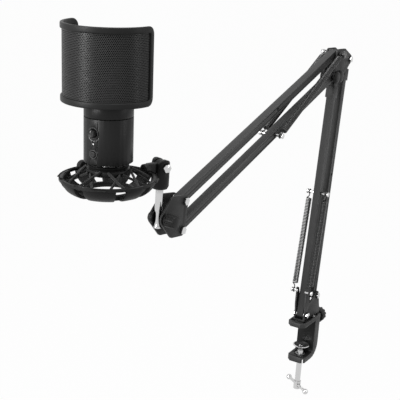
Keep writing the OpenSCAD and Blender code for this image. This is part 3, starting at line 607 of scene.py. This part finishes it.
def hoop(r_in, r_out, z0, z1, rounding, steps=96):
    """A ring with a rounded rectangular section."""
    middle_r, middle_z = (r_in + r_out) / 2, (z0 + z1) / 2
    section = [(middle_r + p.x, middle_z + p.y) for p, _ in rounded_path(r_out - r_in, z1 - z0, rounding, 3, 1.0)]
    return turned_section(section, steps)


def soft_box(low, high, rounding):
    """A box between two corners with rounded edges."""
    low, high = Vector(low), Vector(high)
    bm = block(high - low, (low + high) / 2)
    soften(bm, rounding)
    return bm


def knob_turn(profile, flutes=0, depth=0.0, steps=96):
    """A turned solid whose widest band is cut by even flutes."""
    bm = lathe(profile, steps)
    widest = max(r for r, _ in profile)
    if flutes:
        for vert in bm.verts:
            r = hypot(vert.co.x, vert.co.y)
            if r > widest * 0.93:
                wave = 0.5 - 0.5 * cos(flutes * atan2(vert.co.y, vert.co.x))
                vert.co.xy *= 1 - depth * wave / r
    return bm


# ---- places on the microphone and its mount -------------------------------------------------------------------------


def local_box(node, place):
    """The corners of a node's mesh in the axes of a placement matrix."""
    piece = frame["nodes"][node]
    back = place.inverted() @ piece.matrix_world
    points = [back @ vert.co for vert in piece.data.vertices]
    return (Vector([min(p[i] for p in points) for i in range(3)]),
            Vector([max(p[i] for p in points) for i in range(3)]))


def axes(origin, x_axis, z_axis):
    """A placement matrix from an origin and two square directions."""
    x, z = Vector(x_axis).normalized(), Vector(z_axis).normalized()
    return Matrix.Translation(origin) @ Matrix((x, z.cross(x), z)).transposed().to_4x4()


# The microphone's own axes: Z up its body, -X out of its front, origin in the middle of its base
MIC = axes(pivot("filter_turn"), -Vector(JOINT["volume_turn"]["axis"]), JOINT["filter_turn"]["axis"])
MIC = MIC @ Matrix.Translation((0, 0, local_box("mic_body", MIC)[0].z))
MIC_R = local_box("mic_body", MIC)[1].y
TILT = MIC.inverted() @ pivot("mount_tilt")

# The mount's axes: X out to its tilt bolt, origin in the middle of its ring
LUG_RISE = 2.4 * MM              # the tilt bolt lies this far above the ring's middle
MOUNT_TURN = atan2(TILT.y, TILT.x)
MOUNT = MIC @ Matrix.Translation((0, 0, TILT.z - LUG_RISE)) @ Matrix.Rotation(MOUNT_TURN, 4, "Z")
LUG_REACH = hypot(TILT.x, TILT.y)
CAGE_R = -local_box("shock_cage", MOUNT)[0].y
CAGE_WALL = 4 * MM
BOSS_RISE = 13.25 * MM           # the bosses stand this far above the ring
RING_HALF = local_box("shock_cage", MOUNT)[1].z - BOSS_RISE
CRADLE_R = local_box("mic_cradle", MOUNT)[1].x
HOOK_Z = local_box("mic_cradle", MOUNT)[0].z + 3.5 * MM
CORD_R = 1.3 * MM
FRONT_TURN = Matrix.Rotation(-pi / 2, 4, "Y")     # lays a turned piece's Z along -X


# ---- pop filter -----------------------------------------------------------------------------------------------------

FILTER_LOW, FILTER_HIGH = local_box("filter_frame", MIC)
FILTER_R = -FILTER_LOW.x
FRAME_T = 3.4 * MM
FRAME_W = 6 * MM
SHEET_R = FILTER_R - FRAME_T / 2
FILTER_HALF = acos(-FILTER_HIGH.x / FILTER_R)
FILTER_WIDE = 2 * FILTER_HALF * SHEET_R
FILTER_TALL = FILTER_HIGH.z - FILTER_LOW.z
FILTER_MID = (FILTER_LOW.z + FILTER_HIGH.z) / 2
FILTER_CORNER = 8 * MM
HOLE_PITCH = 1.75 * MM
SHEET_T = 0.5 * MM
ROOT_3 = 1.7320508


def rolled(u, v, out, radius):
    """A point of a flat sheet, u along and v up, rolled round the microphone's front and lifted outward."""
    a = u / radius
    return Vector((-(radius + out) * cos(a), (radius + out) * sin(a), v))


def build_filter_frame():
    """A rounded rubber frame swept round the sheet's outline."""
    path = rounded_path(FILTER_WIDE - FRAME_W, FILTER_TALL - FRAME_W, FILTER_CORNER - FRAME_W / 2, 8, 2 * MM)
    section = [p for p, _ in rounded_path(FRAME_W, FRAME_T, 1.2 * MM, 4, 1.0)]
    rings = []
    for point, way in path:
        rings.append([rolled(point.x + way.x * s.x, FILTER_MID + point.y + way.y * s.x, s.y, SHEET_R)
                      for s in section])
    bm = move(sweep(rings, closed=True), MIC)
    add_piece("filter_rim", bm, "filter_rubber", "filter", ("filter_frame",), sharp=50)


def perforated(width, height, level, pitch, bar, thick, radius):
    """A thin sheet of six-sided holes rolled to a radius; a width of None goes all the way round."""
    whole = width is None
    columns = round(2 * pi * radius / pitch) if whole else int(width / pitch)
    step = 2 * pi * radius / columns if whole else pitch
    rise = step * ROOT_3 / 2
    rows = int(height / rise)
    side = step / ROOT_3
    bm = bmesh.new()
    bmesh.ops.create_circle(bm, cap_ends=True, segments=6, radius=side)
    # a row of cells, a second row half a cell along, then the pair repeated upward
    for way, copies in (((step, 0, 0), columns - 1), ((step / 2, rise, 0), 1), ((0, 2 * rise, 0), rows // 2 - 1)):
        bmesh.ops.spin(bm, geom=bm.verts[:] + bm.edges[:] + bm.faces[:], cent=(0, 0, 0), axis=(0, 0, 1), dvec=way,
                       angle=0.0, steps=copies, use_merge=False, use_normal_flip=False, use_duplicate=True)
    bmesh.ops.remove_doubles(bm, verts=bm.verts, dist=step * 0.05)
    shift = Vector((-(columns - 0.5) * step / 2, level - (rows // 2 * 2 - 1) * rise / 2, 0))
    holes = bm.faces[:]
    bmesh.ops.inset_individual(bm, faces=holes, thickness=bar / 2, depth=0.0, use_even_offset=True)
    bmesh.ops.delete(bm, geom=holes, context="FACES_ONLY")
    for vert in bm.verts:
        vert.co = rolled(vert.co.x + shift.x, vert.co.y + shift.y, 0.0, radius)
    if whole:
        bmesh.ops.remove_doubles(bm, verts=bm.verts, dist=bar * 0.05)
    bmesh.ops.recalc_face_normals(bm, faces=bm.faces)
    bmesh.ops.solidify(bm, geom=bm.faces[:], thickness=thick)
    return bm


def build_filter_sheets():
    """The perforated front sheet and the gauze behind it."""
    width, height = FILTER_WIDE - 1.35 * FRAME_W, FILTER_TALL - 1.2 * FRAME_W
    sheet = perforated(width, height, FILTER_MID, HOLE_PITCH, 0.62 * MM, SHEET_T, SHEET_R)
    add_piece("filter_sheet", move(sheet, MIC), "filter_mesh", "filter", ("filter_mesh",), sharp=30)
    gauze_r = SHEET_R - 0.9 * MM
    wide, tall = width - 1 * MM, height - 1 * MM
    section = [p for p, _ in rounded_path(0.4 * MM, tall, 0.1 * MM, 1, 1.0)]
    steps = 72
    rings = [[rolled(wide * (k / steps - 0.5), FILTER_MID + s.y, s.x, gauze_r) for s in section]
             for k in range(steps + 1)]
    add_piece("filter_gauze", move(sweep(rings), MIC), "foam", "filter", ("filter_lining",), sharp=30)


def build_straps():
    """Two woven elastic bands from the filter's upright ends round the back of the head."""
    low, high = local_box("filter_straps", MIC)
    thick, tall = 1.4 * MM, 5 * MM
    reach = FILTER_R - FRAME_T - 0.2 * MM
    inside = MIC_R + 0.3 * MM
    r_mid = inside + thick / 2
    lie = radians(184) - FILTER_HALF - acos((inside + thick) / reach)      # the band lies on the head this far round
    free = (reach ** 2 - (inside + thick) ** 2) ** 0.5 + 1.2 * MM          # and then runs free to the filter's end
    half = [(r_mid * cos(lie * k / 12), r_mid * sin(lie * k / 12)) for k in range(13)]
    half += [(half[12][0] - sin(lie) * free * k / 8, half[12][1] + cos(lie) * free * k / 8) for k in range(1, 9)]
    plan = [(x, -y) for x, y in reversed(half[1:])] + half
    section = [p for p, _ in rounded_path(thick, tall, 0.5 * MM, 2, 0.7 * MM)]
    for level, name in ((low.z, "lower_strap"), (high.z - tall, "upper_strap")):
        rings = []
        for i, (x, y) in enumerate(plan):
            before, after = plan[max(i - 1, 0)], plan[min(i + 1, len(plan) - 1)]
            along = Vector((after[0] - before[0], after[1] - before[1], 0)).normalized()
            out = Vector((along.y, -along.x, 0))
            rings.append([Vector((x, y, level + tall / 2 + s.y)) + out * s.x for s in section])
        replaced = ("filter_straps",) if name == "lower_strap" else ()
        add_piece(name, move(sweep(rings, uv_scale=2.0), MIC), "elastic", "filter", replaced, sharp=50)


# ---- microphone -----------------------------------------------------------------------------------------------------

HEAD_LOW, HEAD_HIGH = local_box("head_grille", MIC)


def on_front(y, z):
    """A point on the front of the microphone's round body."""
    return Vector((-((MIC_R ** 2 - y ** 2) ** 0.5), y, z))


def build_head():
    """The perforated head with its rims, and a rounded cap."""
    wall_r = HEAD_HIGH.y - 0.4 * MM
    height = HEAD_HIGH.z - HEAD_LOW.z
    sheet = perforated(None, height, (HEAD_LOW.z + HEAD_HIGH.z) / 2, HOLE_PITCH, 0.6 * MM, SHEET_T, wall_r)
    rims = [hoop(wall_r - 1 * MM, MIC_R, HEAD_LOW.z, HEAD_LOW.z + 1.6 * MM, 0.3 * MM),
            hoop(wall_r - 1 * MM, MIC_R, HEAD_HIGH.z - 1.6 * MM, HEAD_HIGH.z, 0.3 * MM)]
    add_piece("head_mesh", move(join(sheet, *rims), MIC), "grille", "microphone", ("head_grille",), sharp=30)
    foam = hoop(wall_r - 2.4 * MM, wall_r - 0.8 * MM, HEAD_LOW.z + 0.5 * MM, HEAD_HIGH.z - 0.5 * MM, 0.2 * MM)
    add_piece("head_foam", move(foam, MIC), "foam", "microphone", sharp=30)
    top = local_box("grille_cap", MIC)[1].z
    z = HEAD_HIGH.z
    profile = [(0, z + 0.05 * MM), (MIC_R - 0.3 * MM, z + 0.05 * MM), (MIC_R, z + 0.35 * MM), (MIC_R, z + 1.2 * MM)]
    profile += [(MIC_R - 4 * MM * (1 - cos(a)), z + 1.2 * MM + (top - z - 1.2 * MM) * sin(a))
                for a in (radians(15 * k) for k in range(1, 7))]
    profile.append((0, top))
    add_piece("head_cap", move(lathe(profile), MIC), "mic_paint", "microphone", ("grille_cap",), sharp=30)


def build_controls():
    """Volume knob, mute button, their collars, the scale and the light."""
    dial_z = (MIC.inverted() @ pivot("volume_turn")).z
    mute_z = (local_box("mute_button", MIC)[0].z + local_box("mute_button", MIC)[1].z) / 2
    dial_r, face = 4.1 * MM, 4.6 * MM
    profile = [(0, -2.6 * MM), (dial_r * 0.9, -2.6 * MM), (dial_r * 0.9, 0.3 * MM), (dial_r, 0.5 * MM),
               (dial_r, face - 0.7 * MM), (dial_r - 0.25 * MM, face - 0.2 * MM), (dial_r - 0.7 * MM, face),
               (dial_r - 1.1 * MM, face - 0.25 * MM), (0, face - 0.3 * MM)]
    knob = move(knob_turn(profile, 30, 0.22 * MM, 120), MIC @ Matrix.Translation((-MIC_R, 0, dial_z)) @ FRONT_TURN)
    add_piece("volume_dial", knob, "knob_finish", "volume", ("volume_knob",), sharp=40)
    line = soft_box((-MIC_R - face - 0.02 * MM, -0.22 * MM, dial_z + 0.9 * MM),
                    (-MIC_R - face + 0.5 * MM, 0.22 * MM, dial_z + dial_r - 1.0 * MM), 0.05 * MM)
    add_piece("volume_pointer", move(line, MIC), "print", "volume")
    press_r = 3.0 * MM
    profile = [(0, -2.6 * MM), (press_r, -2.6 * MM), (press_r, 1.0 * MM), (press_r - 0.15 * MM, 1.3 * MM),
               (press_r - 0.6 * MM, 1.55 * MM), (press_r * 0.4, 1.35 * MM), (0, 1.25 * MM)]
    button = move(lathe(profile, 64), MIC @ Matrix.Translation((-MIC_R, 0, mute_z)) @ FRONT_TURN)
    add_piece("mute_cap", button, "knob_finish", "mute", ("mute_button",), sharp=40)
    collars = []
    for z, r in ((dial_z, 4.4 * MM), (mute_z, 3.3 * MM)):
        collars.append(move(hoop(r - 0.05 * MM, r + 1.3 * MM, -1.4 * MM, 0.45 * MM, 0.35 * MM, 64),
                            Matrix.Translation((-MIC_R, 0, z)) @ FRONT_TURN))
    add_piece("control_collars", move(join(*collars), MIC), "grille", "microphone")
    marks = []
    scale_r = 7.6 * MM
    for k in range(9):
        a = radians(-90 + (k - 4) * 13)
        spot = on_front(scale_r * cos(a), dial_z + scale_r * sin(a))
        tick = block((0.12 * MM, 0.32 * MM, (0.7 + 0.08 * k) * MM))
        face_way = atan2(spot.y, -spot.x)
        marks.append(move(tick, Matrix.Translation(spot) @ Matrix.Rotation(-face_way, 4, "Z")
                          @ Matrix.Rotation(-(a + pi / 2), 4, "X")))
    add_piece("volume_scale", move(join(*marks), MIC), "print", "microphone")
    light = MIC.inverted() @ middle("status_light")
    dome = lathe([(0, -1 * MM), (0.9 * MM, -1 * MM), (0.9 * MM, 0.0), (0.7 * MM, 0.25 * MM), (0, 0.38 * MM)], 32)
    add_piece("light_lens", move(dome, MIC @ Matrix.Translation((-MIC_R, 0, light.z)) @ FRONT_TURN), "light",
              "microphone", ("status_light",))


# ---- shock mount ----------------------------------------------------------------------------------------------------

FOOT_R = 27 * MM
FOOT_Z = -13.5 * MM
FOOT_HALF = 2.5 * MM
RIB_T = 3.4 * MM
NARROW_RIB, WIDE_RIB = 24, 40    # degrees of the ring
BOSS_IN = 6 * MM                 # the posts and bosses stand this far inside the ring's outer wall


def bowl_rib(turn, angle):
    """A curved rib like a slice of a bowl, from the main ring in to the lower ring."""
    top, low = 1 * MM - RING_HALF, FOOT_Z - FOOT_HALF
    section = [(FOOT_R - 1 * MM + (CAGE_R - FOOT_R) * cos(a), top + (low - top) * sin(a))
               for a in (radians(10 * k) for k in range(10))]
    section += [(FOOT_R - 1 * MM + (CAGE_R - FOOT_R - RIB_T) * cos(a), top + (low - top + RIB_T) * sin(a))
                for a in (radians(90 - 10 * k) for k in range(10))]
    bm = turned_section(section, 6, turn - angle / 2, angle)
    soften(bm, 0.6 * MM, 2, 50)
    return bm


def build_cage():
    """The moulded cage in one piece: rings, ribs, blocks, posts, bosses and lug."""
    parts = [hoop(CAGE_R - CAGE_WALL, CAGE_R, -RING_HALF, RING_HALF, 1.3 * MM, 128),
             hoop(FOOT_R - 5 * MM, FOOT_R, FOOT_Z - FOOT_HALF, FOOT_Z + FOOT_HALF, 1.1 * MM, 96)]
    for k in range(4):
        parts.append(bowl_rib(k * 90, NARROW_RIB))
        parts.append(bowl_rib(k * 90 + 45, WIDE_RIB))
        corner = soft_box((CAGE_R - CAGE_WALL - 1 * MM, -7 * MM, -RING_HALF - 0.5 * MM),
                          (CAGE_R + 1.2 * MM, 7 * MM, RING_HALF + 0.5 * MM), 1.3 * MM)
        parts.append(move(corner, Matrix.Rotation(radians(45 + 90 * k), 4, "Z")))
    boss_z = 1.5 * MM + RING_HALF
    for k in range(2):
        turn = Matrix.Rotation(k * pi / 2, 4, "Z")
        post = soft_box((CAGE_R - BOSS_IN, -3.5 * MM, -RING_HALF - 2 * MM), (CAGE_R, 3.5 * MM, RING_HALF), 1 * MM)
        boss = lathe([(0, 1 * MM), (2.2 * MM, 1 * MM), (2.6 * MM, 0.4 * MM), (3.4 * MM, 0), (5.2 * MM, 0),
                      (5.8 * MM, 0.3 * MM), (6 * MM, 0.9 * MM), (6 * MM, 5.5 * MM), (5.8 * MM, 6.1 * MM),
                      (5.2 * MM, 6.4 * MM), (3.4 * MM, 6.4 * MM), (2.6 * MM, 6 * MM), (2.2 * MM, 5.4 * MM),
                      (0, 5.4 * MM)], 64)
        boss = move(boss, Matrix.Translation((CAGE_R - BOSS_IN, 0, boss_z)) @ Matrix.Rotation(pi / 2, 4, "Y"))
        parts += [move(post, turn), move(boss, turn)]
    arm = soft_box((CAGE_R - 1 * MM, -3.5 * MM, -2.6 * MM), (LUG_REACH, 3.5 * MM, 7.4 * MM), 0.8 * MM)
    eye = lathe([(0, -3.5 * MM), (6.6 * MM, -3.5 * MM), (7.2 * MM, -3.1 * MM), (7.4 * MM, -2.6 * MM),
                 (7.4 * MM, 2.6 * MM), (7.2 * MM, 3.1 * MM), (6.6 * MM, 3.5 * MM), (0, 3.5 * MM)], 72)
    for vert in eye.verts:
        if abs(vert.co.z) < 3 * MM and hypot(vert.co.x, vert.co.y) > 6 * MM:
            vert.co.xy *= 1 - 0.035 * (0.5 - 0.5 * cos(24 * atan2(vert.co.y, vert.co.x)))
    eye = move(eye, Matrix.Translation((LUG_REACH, 0, LUG_RISE)) @ Matrix.Rotation(pi / 2, 4, "X"))
    add_piece("cage_moulding", move(join(*parts, arm, eye), MOUNT), "cage_plastic", "microphone", ("shock_cage",),
              sharp=35)


def build_cords():
    """Crossing pairs of braided elastic from the ring's inner wall to the cradle's rim."""
    ring_r = CAGE_R - CAGE_WALL - CORD_R - 0.4 * MM
    rim_r = CRADLE_R + CORD_R + 0.3 * MM
    gap = 2 * CORD_R + 0.6 * MM
    cords = []
    for k in range(4):
        for side in (-1, 1):
            for at_ring, at_rim, level in ((9, 38, -gap / 2), (34, 12, gap / 2)):
                turn = radians(45 + 90 * k)
                a, b = turn + side * radians(at_ring), turn + side * radians(at_rim)
                start = Vector((ring_r * cos(a), ring_r * sin(a), level - 4 * MM))
                end = Vector((rim_r * cos(b), rim_r * sin(b), level + HOOK_Z))
                along = (end - start).normalized()
                start, end = start - along * 1.7 * MM, end + along * 1.2 * MM
                cords.append(tube([start.lerp(end, t / 6) for t in range(7)], CORD_R, 14, 1.5))
    add_piece("suspension_cords", move(join(*cords), MOUNT), "elastic", "microphone", ("elastic_cords",), sharp=50)


# ---- clamp and elbow ------------------------------------------------------------------------------------------------


def build_cup():
    """The clamp's pressure cup: a flat rim round a shallow dish, on a short neck."""
    low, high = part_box("pressure_cup")
    r, top, foot = (high.x - low.x) / 2, high.z, low.z
    profile = [(0, top - 2.3 * MM), (r * 0.35, top - 2.2 * MM), (r * 0.62, top - 1.5 * MM), (r * 0.8, top - 0.35 * MM),
               (r * 0.86, top), (r - 0.5 * MM, top), (r, top - 0.4 * MM), (r, top - 1.1 * MM),
               (r - 0.6 * MM, top - 1.7 * MM), (r * 0.72, top - 3.2 * MM), (r * 0.56, top - 4.4 * MM),
               (r * 0.52, foot + 0.4 * MM), (r * 0.48, foot), (0, foot)]
    add_piece("cup_dish", lathe(profile), "chrome", "cup", ("pressure_cup",), sharp=45)


def build_elbow_caps():
    """Black plastic caps over the heads of the two lower elbow bolts."""
    plate = abs(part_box("elbow_plate_near")[0].y)
    caps = []
    for name in ("elbow_level", "upper_lift"):
        point = pivot(name)
        profile = [(0, 0), (8.2 * MM, 0), (8.2 * MM, 1.6 * MM), (7.6 * MM, 3.2 * MM), (6.4 * MM, 4 * MM),
                   (3 * MM, 4.2 * MM), (0, 4.2 * MM)]
        for side in (-1, 1):
            place = Matrix.Translation((point.x, side * (plate + 0.05 * MM), point.z))
            caps.append(move(lathe(profile, 48), place @ Matrix.Rotation(-side * pi / 2, 4, "X")))
    add_piece("elbow_caps", join(*caps), "black_plastic", "elbow", sharp=40)


def paint_channel_shade_and_black_bolts():
    """Painted shade: the clamp channel's inner faces get the black plastic finish where the channel lies in shade. The
    elbow's capped bolts and the near side of the top hinge bolt under the spring get the black spring finish.
    """
    low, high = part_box("clamp_bracket")
    # painted shade: black finish on the channel's inner faces
    second_finish("clamp_bracket", "black_plastic",
                  lambda c, n: low.z + 8 * MM < c.z < -1 * MM and abs(c.y) < high.y - 1.5 * MM)

    def on_bolt(point, name):
        return (point - pivot(name)).xz.length < 6 * MM

    second_finish("elbow_bolts", "spring_wire",
                  lambda c, n: on_bolt(c, "elbow_level") or on_bolt(c, "upper_lift")
                  or (on_bolt(c, "upper_top_hinge") and c.y < 0))


# ---- camera, light and floor ----------------------------------------------------------------------------------------


def place_camera():
    """The camera at its stand, turned by azimuth, pitch and roll."""
    forward = Vector((-sin(CAMERA_AZIMUTH) * cos(CAMERA_PITCH), cos(CAMERA_AZIMUTH) * cos(CAMERA_PITCH),
                      -sin(CAMERA_PITCH)))
    right = Vector((cos(CAMERA_AZIMUTH), sin(CAMERA_AZIMUTH), 0))
    up = right.cross(forward)
    turned_right = right * cos(CAMERA_ROLL) - up * sin(CAMERA_ROLL)
    turned_up = right * sin(CAMERA_ROLL) + up * cos(CAMERA_ROLL)
    data = bpy.data.cameras.new("camera")
    data.lens = CAMERA_LENS
    data.clip_start, data.clip_end = 0.05, 200.0
    camera = bpy.data.objects.new("camera", data)
    camera.matrix_world = Matrix.Translation(CAMERA_PLACE) @ Matrix(
        (turned_right, turned_up, -forward)).transposed().to_4x4()
    bpy.context.scene.collection.objects.link(camera)
    bpy.context.scene.camera = camera


def soft_light(name, target, azimuth, elevation, distance, size, watts):
    """A rectangular soft light aimed at a point; azimuth 0 stands on the -Y side."""
    data = bpy.data.lights.new(name, "AREA")
    data.shape = "RECTANGLE"
    data.size, data.size_y = size
    data.energy = watts
    lamp = bpy.data.objects.new(name, data)
    a, e = radians(azimuth), radians(elevation)
    back = Vector((sin(a) * cos(e), -cos(a) * cos(e), sin(e)))
    lamp.location = target + back * distance
    lamp.rotation_mode = "QUATERNION"
    lamp.rotation_quaternion = (-back).to_track_quat("-Z", "Y")
    bpy.context.scene.collection.objects.link(lamp)


def seen_directly(tree):
    """1 for rays from the camera, from reflections and through glass."""
    path = tree.nodes.new("ShaderNodeLightPath").outputs
    return math_node(tree, "MAXIMUM", path["Is Camera Ray"],
                     math_node(tree, "MAXIMUM", path["Is Glossy Ray"], path["Is Transmission Ray"]))


def light_room():
    """A white room: even world light, and soft lights from the left, the right and above."""
    world = bpy.data.worlds.new("studio")
    bpy.context.scene.world = world
    world.use_nodes = True
    tree = world.node_tree
    tree.nodes.clear()
    fill, white = (tree.nodes.new("ShaderNodeBackground") for _ in range(2))
    fill.inputs["Strength"].default_value = WORLD_FILL
    for background in (fill, white):
        background.inputs["Color"].default_value = (1, 1, 1, 1)
    mix = tree.nodes.new("ShaderNodeMixShader")
    tree.links.new(seen_directly(tree), mix.inputs["Fac"])
    tree.links.new(fill.outputs[0], mix.inputs[1])
    tree.links.new(white.outputs[0], mix.inputs[2])
    out = tree.nodes.new("ShaderNodeOutputWorld")
    tree.links.new(mix.outputs[0], out.inputs["Surface"])
    for name, values in SOFT_LIGHTS.items():
        soft_light(name, Vector((-0.3, 0, 0.25)), *values)


def lay_floor():
    """A wide pale floor, seen white with the object's shadow kept."""
    bm = bmesh.new()
    bmesh.ops.create_grid(bm, x_segments=1, y_segments=1, size=60, matrix=Matrix.Translation((0, 0, FLOOR_LEVEL)))
    mesh = bpy.data.meshes.new("floor")
    bm.to_mesh(mesh)
    bm.free()
    material, tree, bsdf = shader("floor_white", Base_Color=grey(0.9), Roughness=0.9, Specular_IOR_Level=0.1)
    glow = tree.nodes.new("ShaderNodeEmission")
    glow.inputs["Strength"].default_value = 1.0
    mix = tree.nodes.new("ShaderNodeMixShader")
    tree.links.new(math_node(tree, "MULTIPLY", seen_directly(tree), FLOOR_GLOW), mix.inputs["Fac"])
    tree.links.new(bsdf.outputs[0], mix.inputs[1])
    tree.links.new(glow.outputs[0], mix.inputs[2])
    tree.links.new(mix.outputs[0], tree.nodes["Material Output"].inputs["Surface"])
    mesh.materials.append(material)
    floor = bpy.data.objects.new("floor", mesh)
    bpy.context.scene.collection.objects.link(floor)


place_camera()
light_room()
lay_floor()
bpy.context.scene.view_settings.view_transform = "Standard"

for part in frame["record"]["subparts"]:
    dress(part["node"], part["material_slot"])

build_springs()
build_filter_frame()
build_filter_sheets()
build_straps()
build_head()
build_controls()
build_cage()
build_cords()
build_cup()
build_elbow_caps()
paint_channel_shade_and_black_bolts()
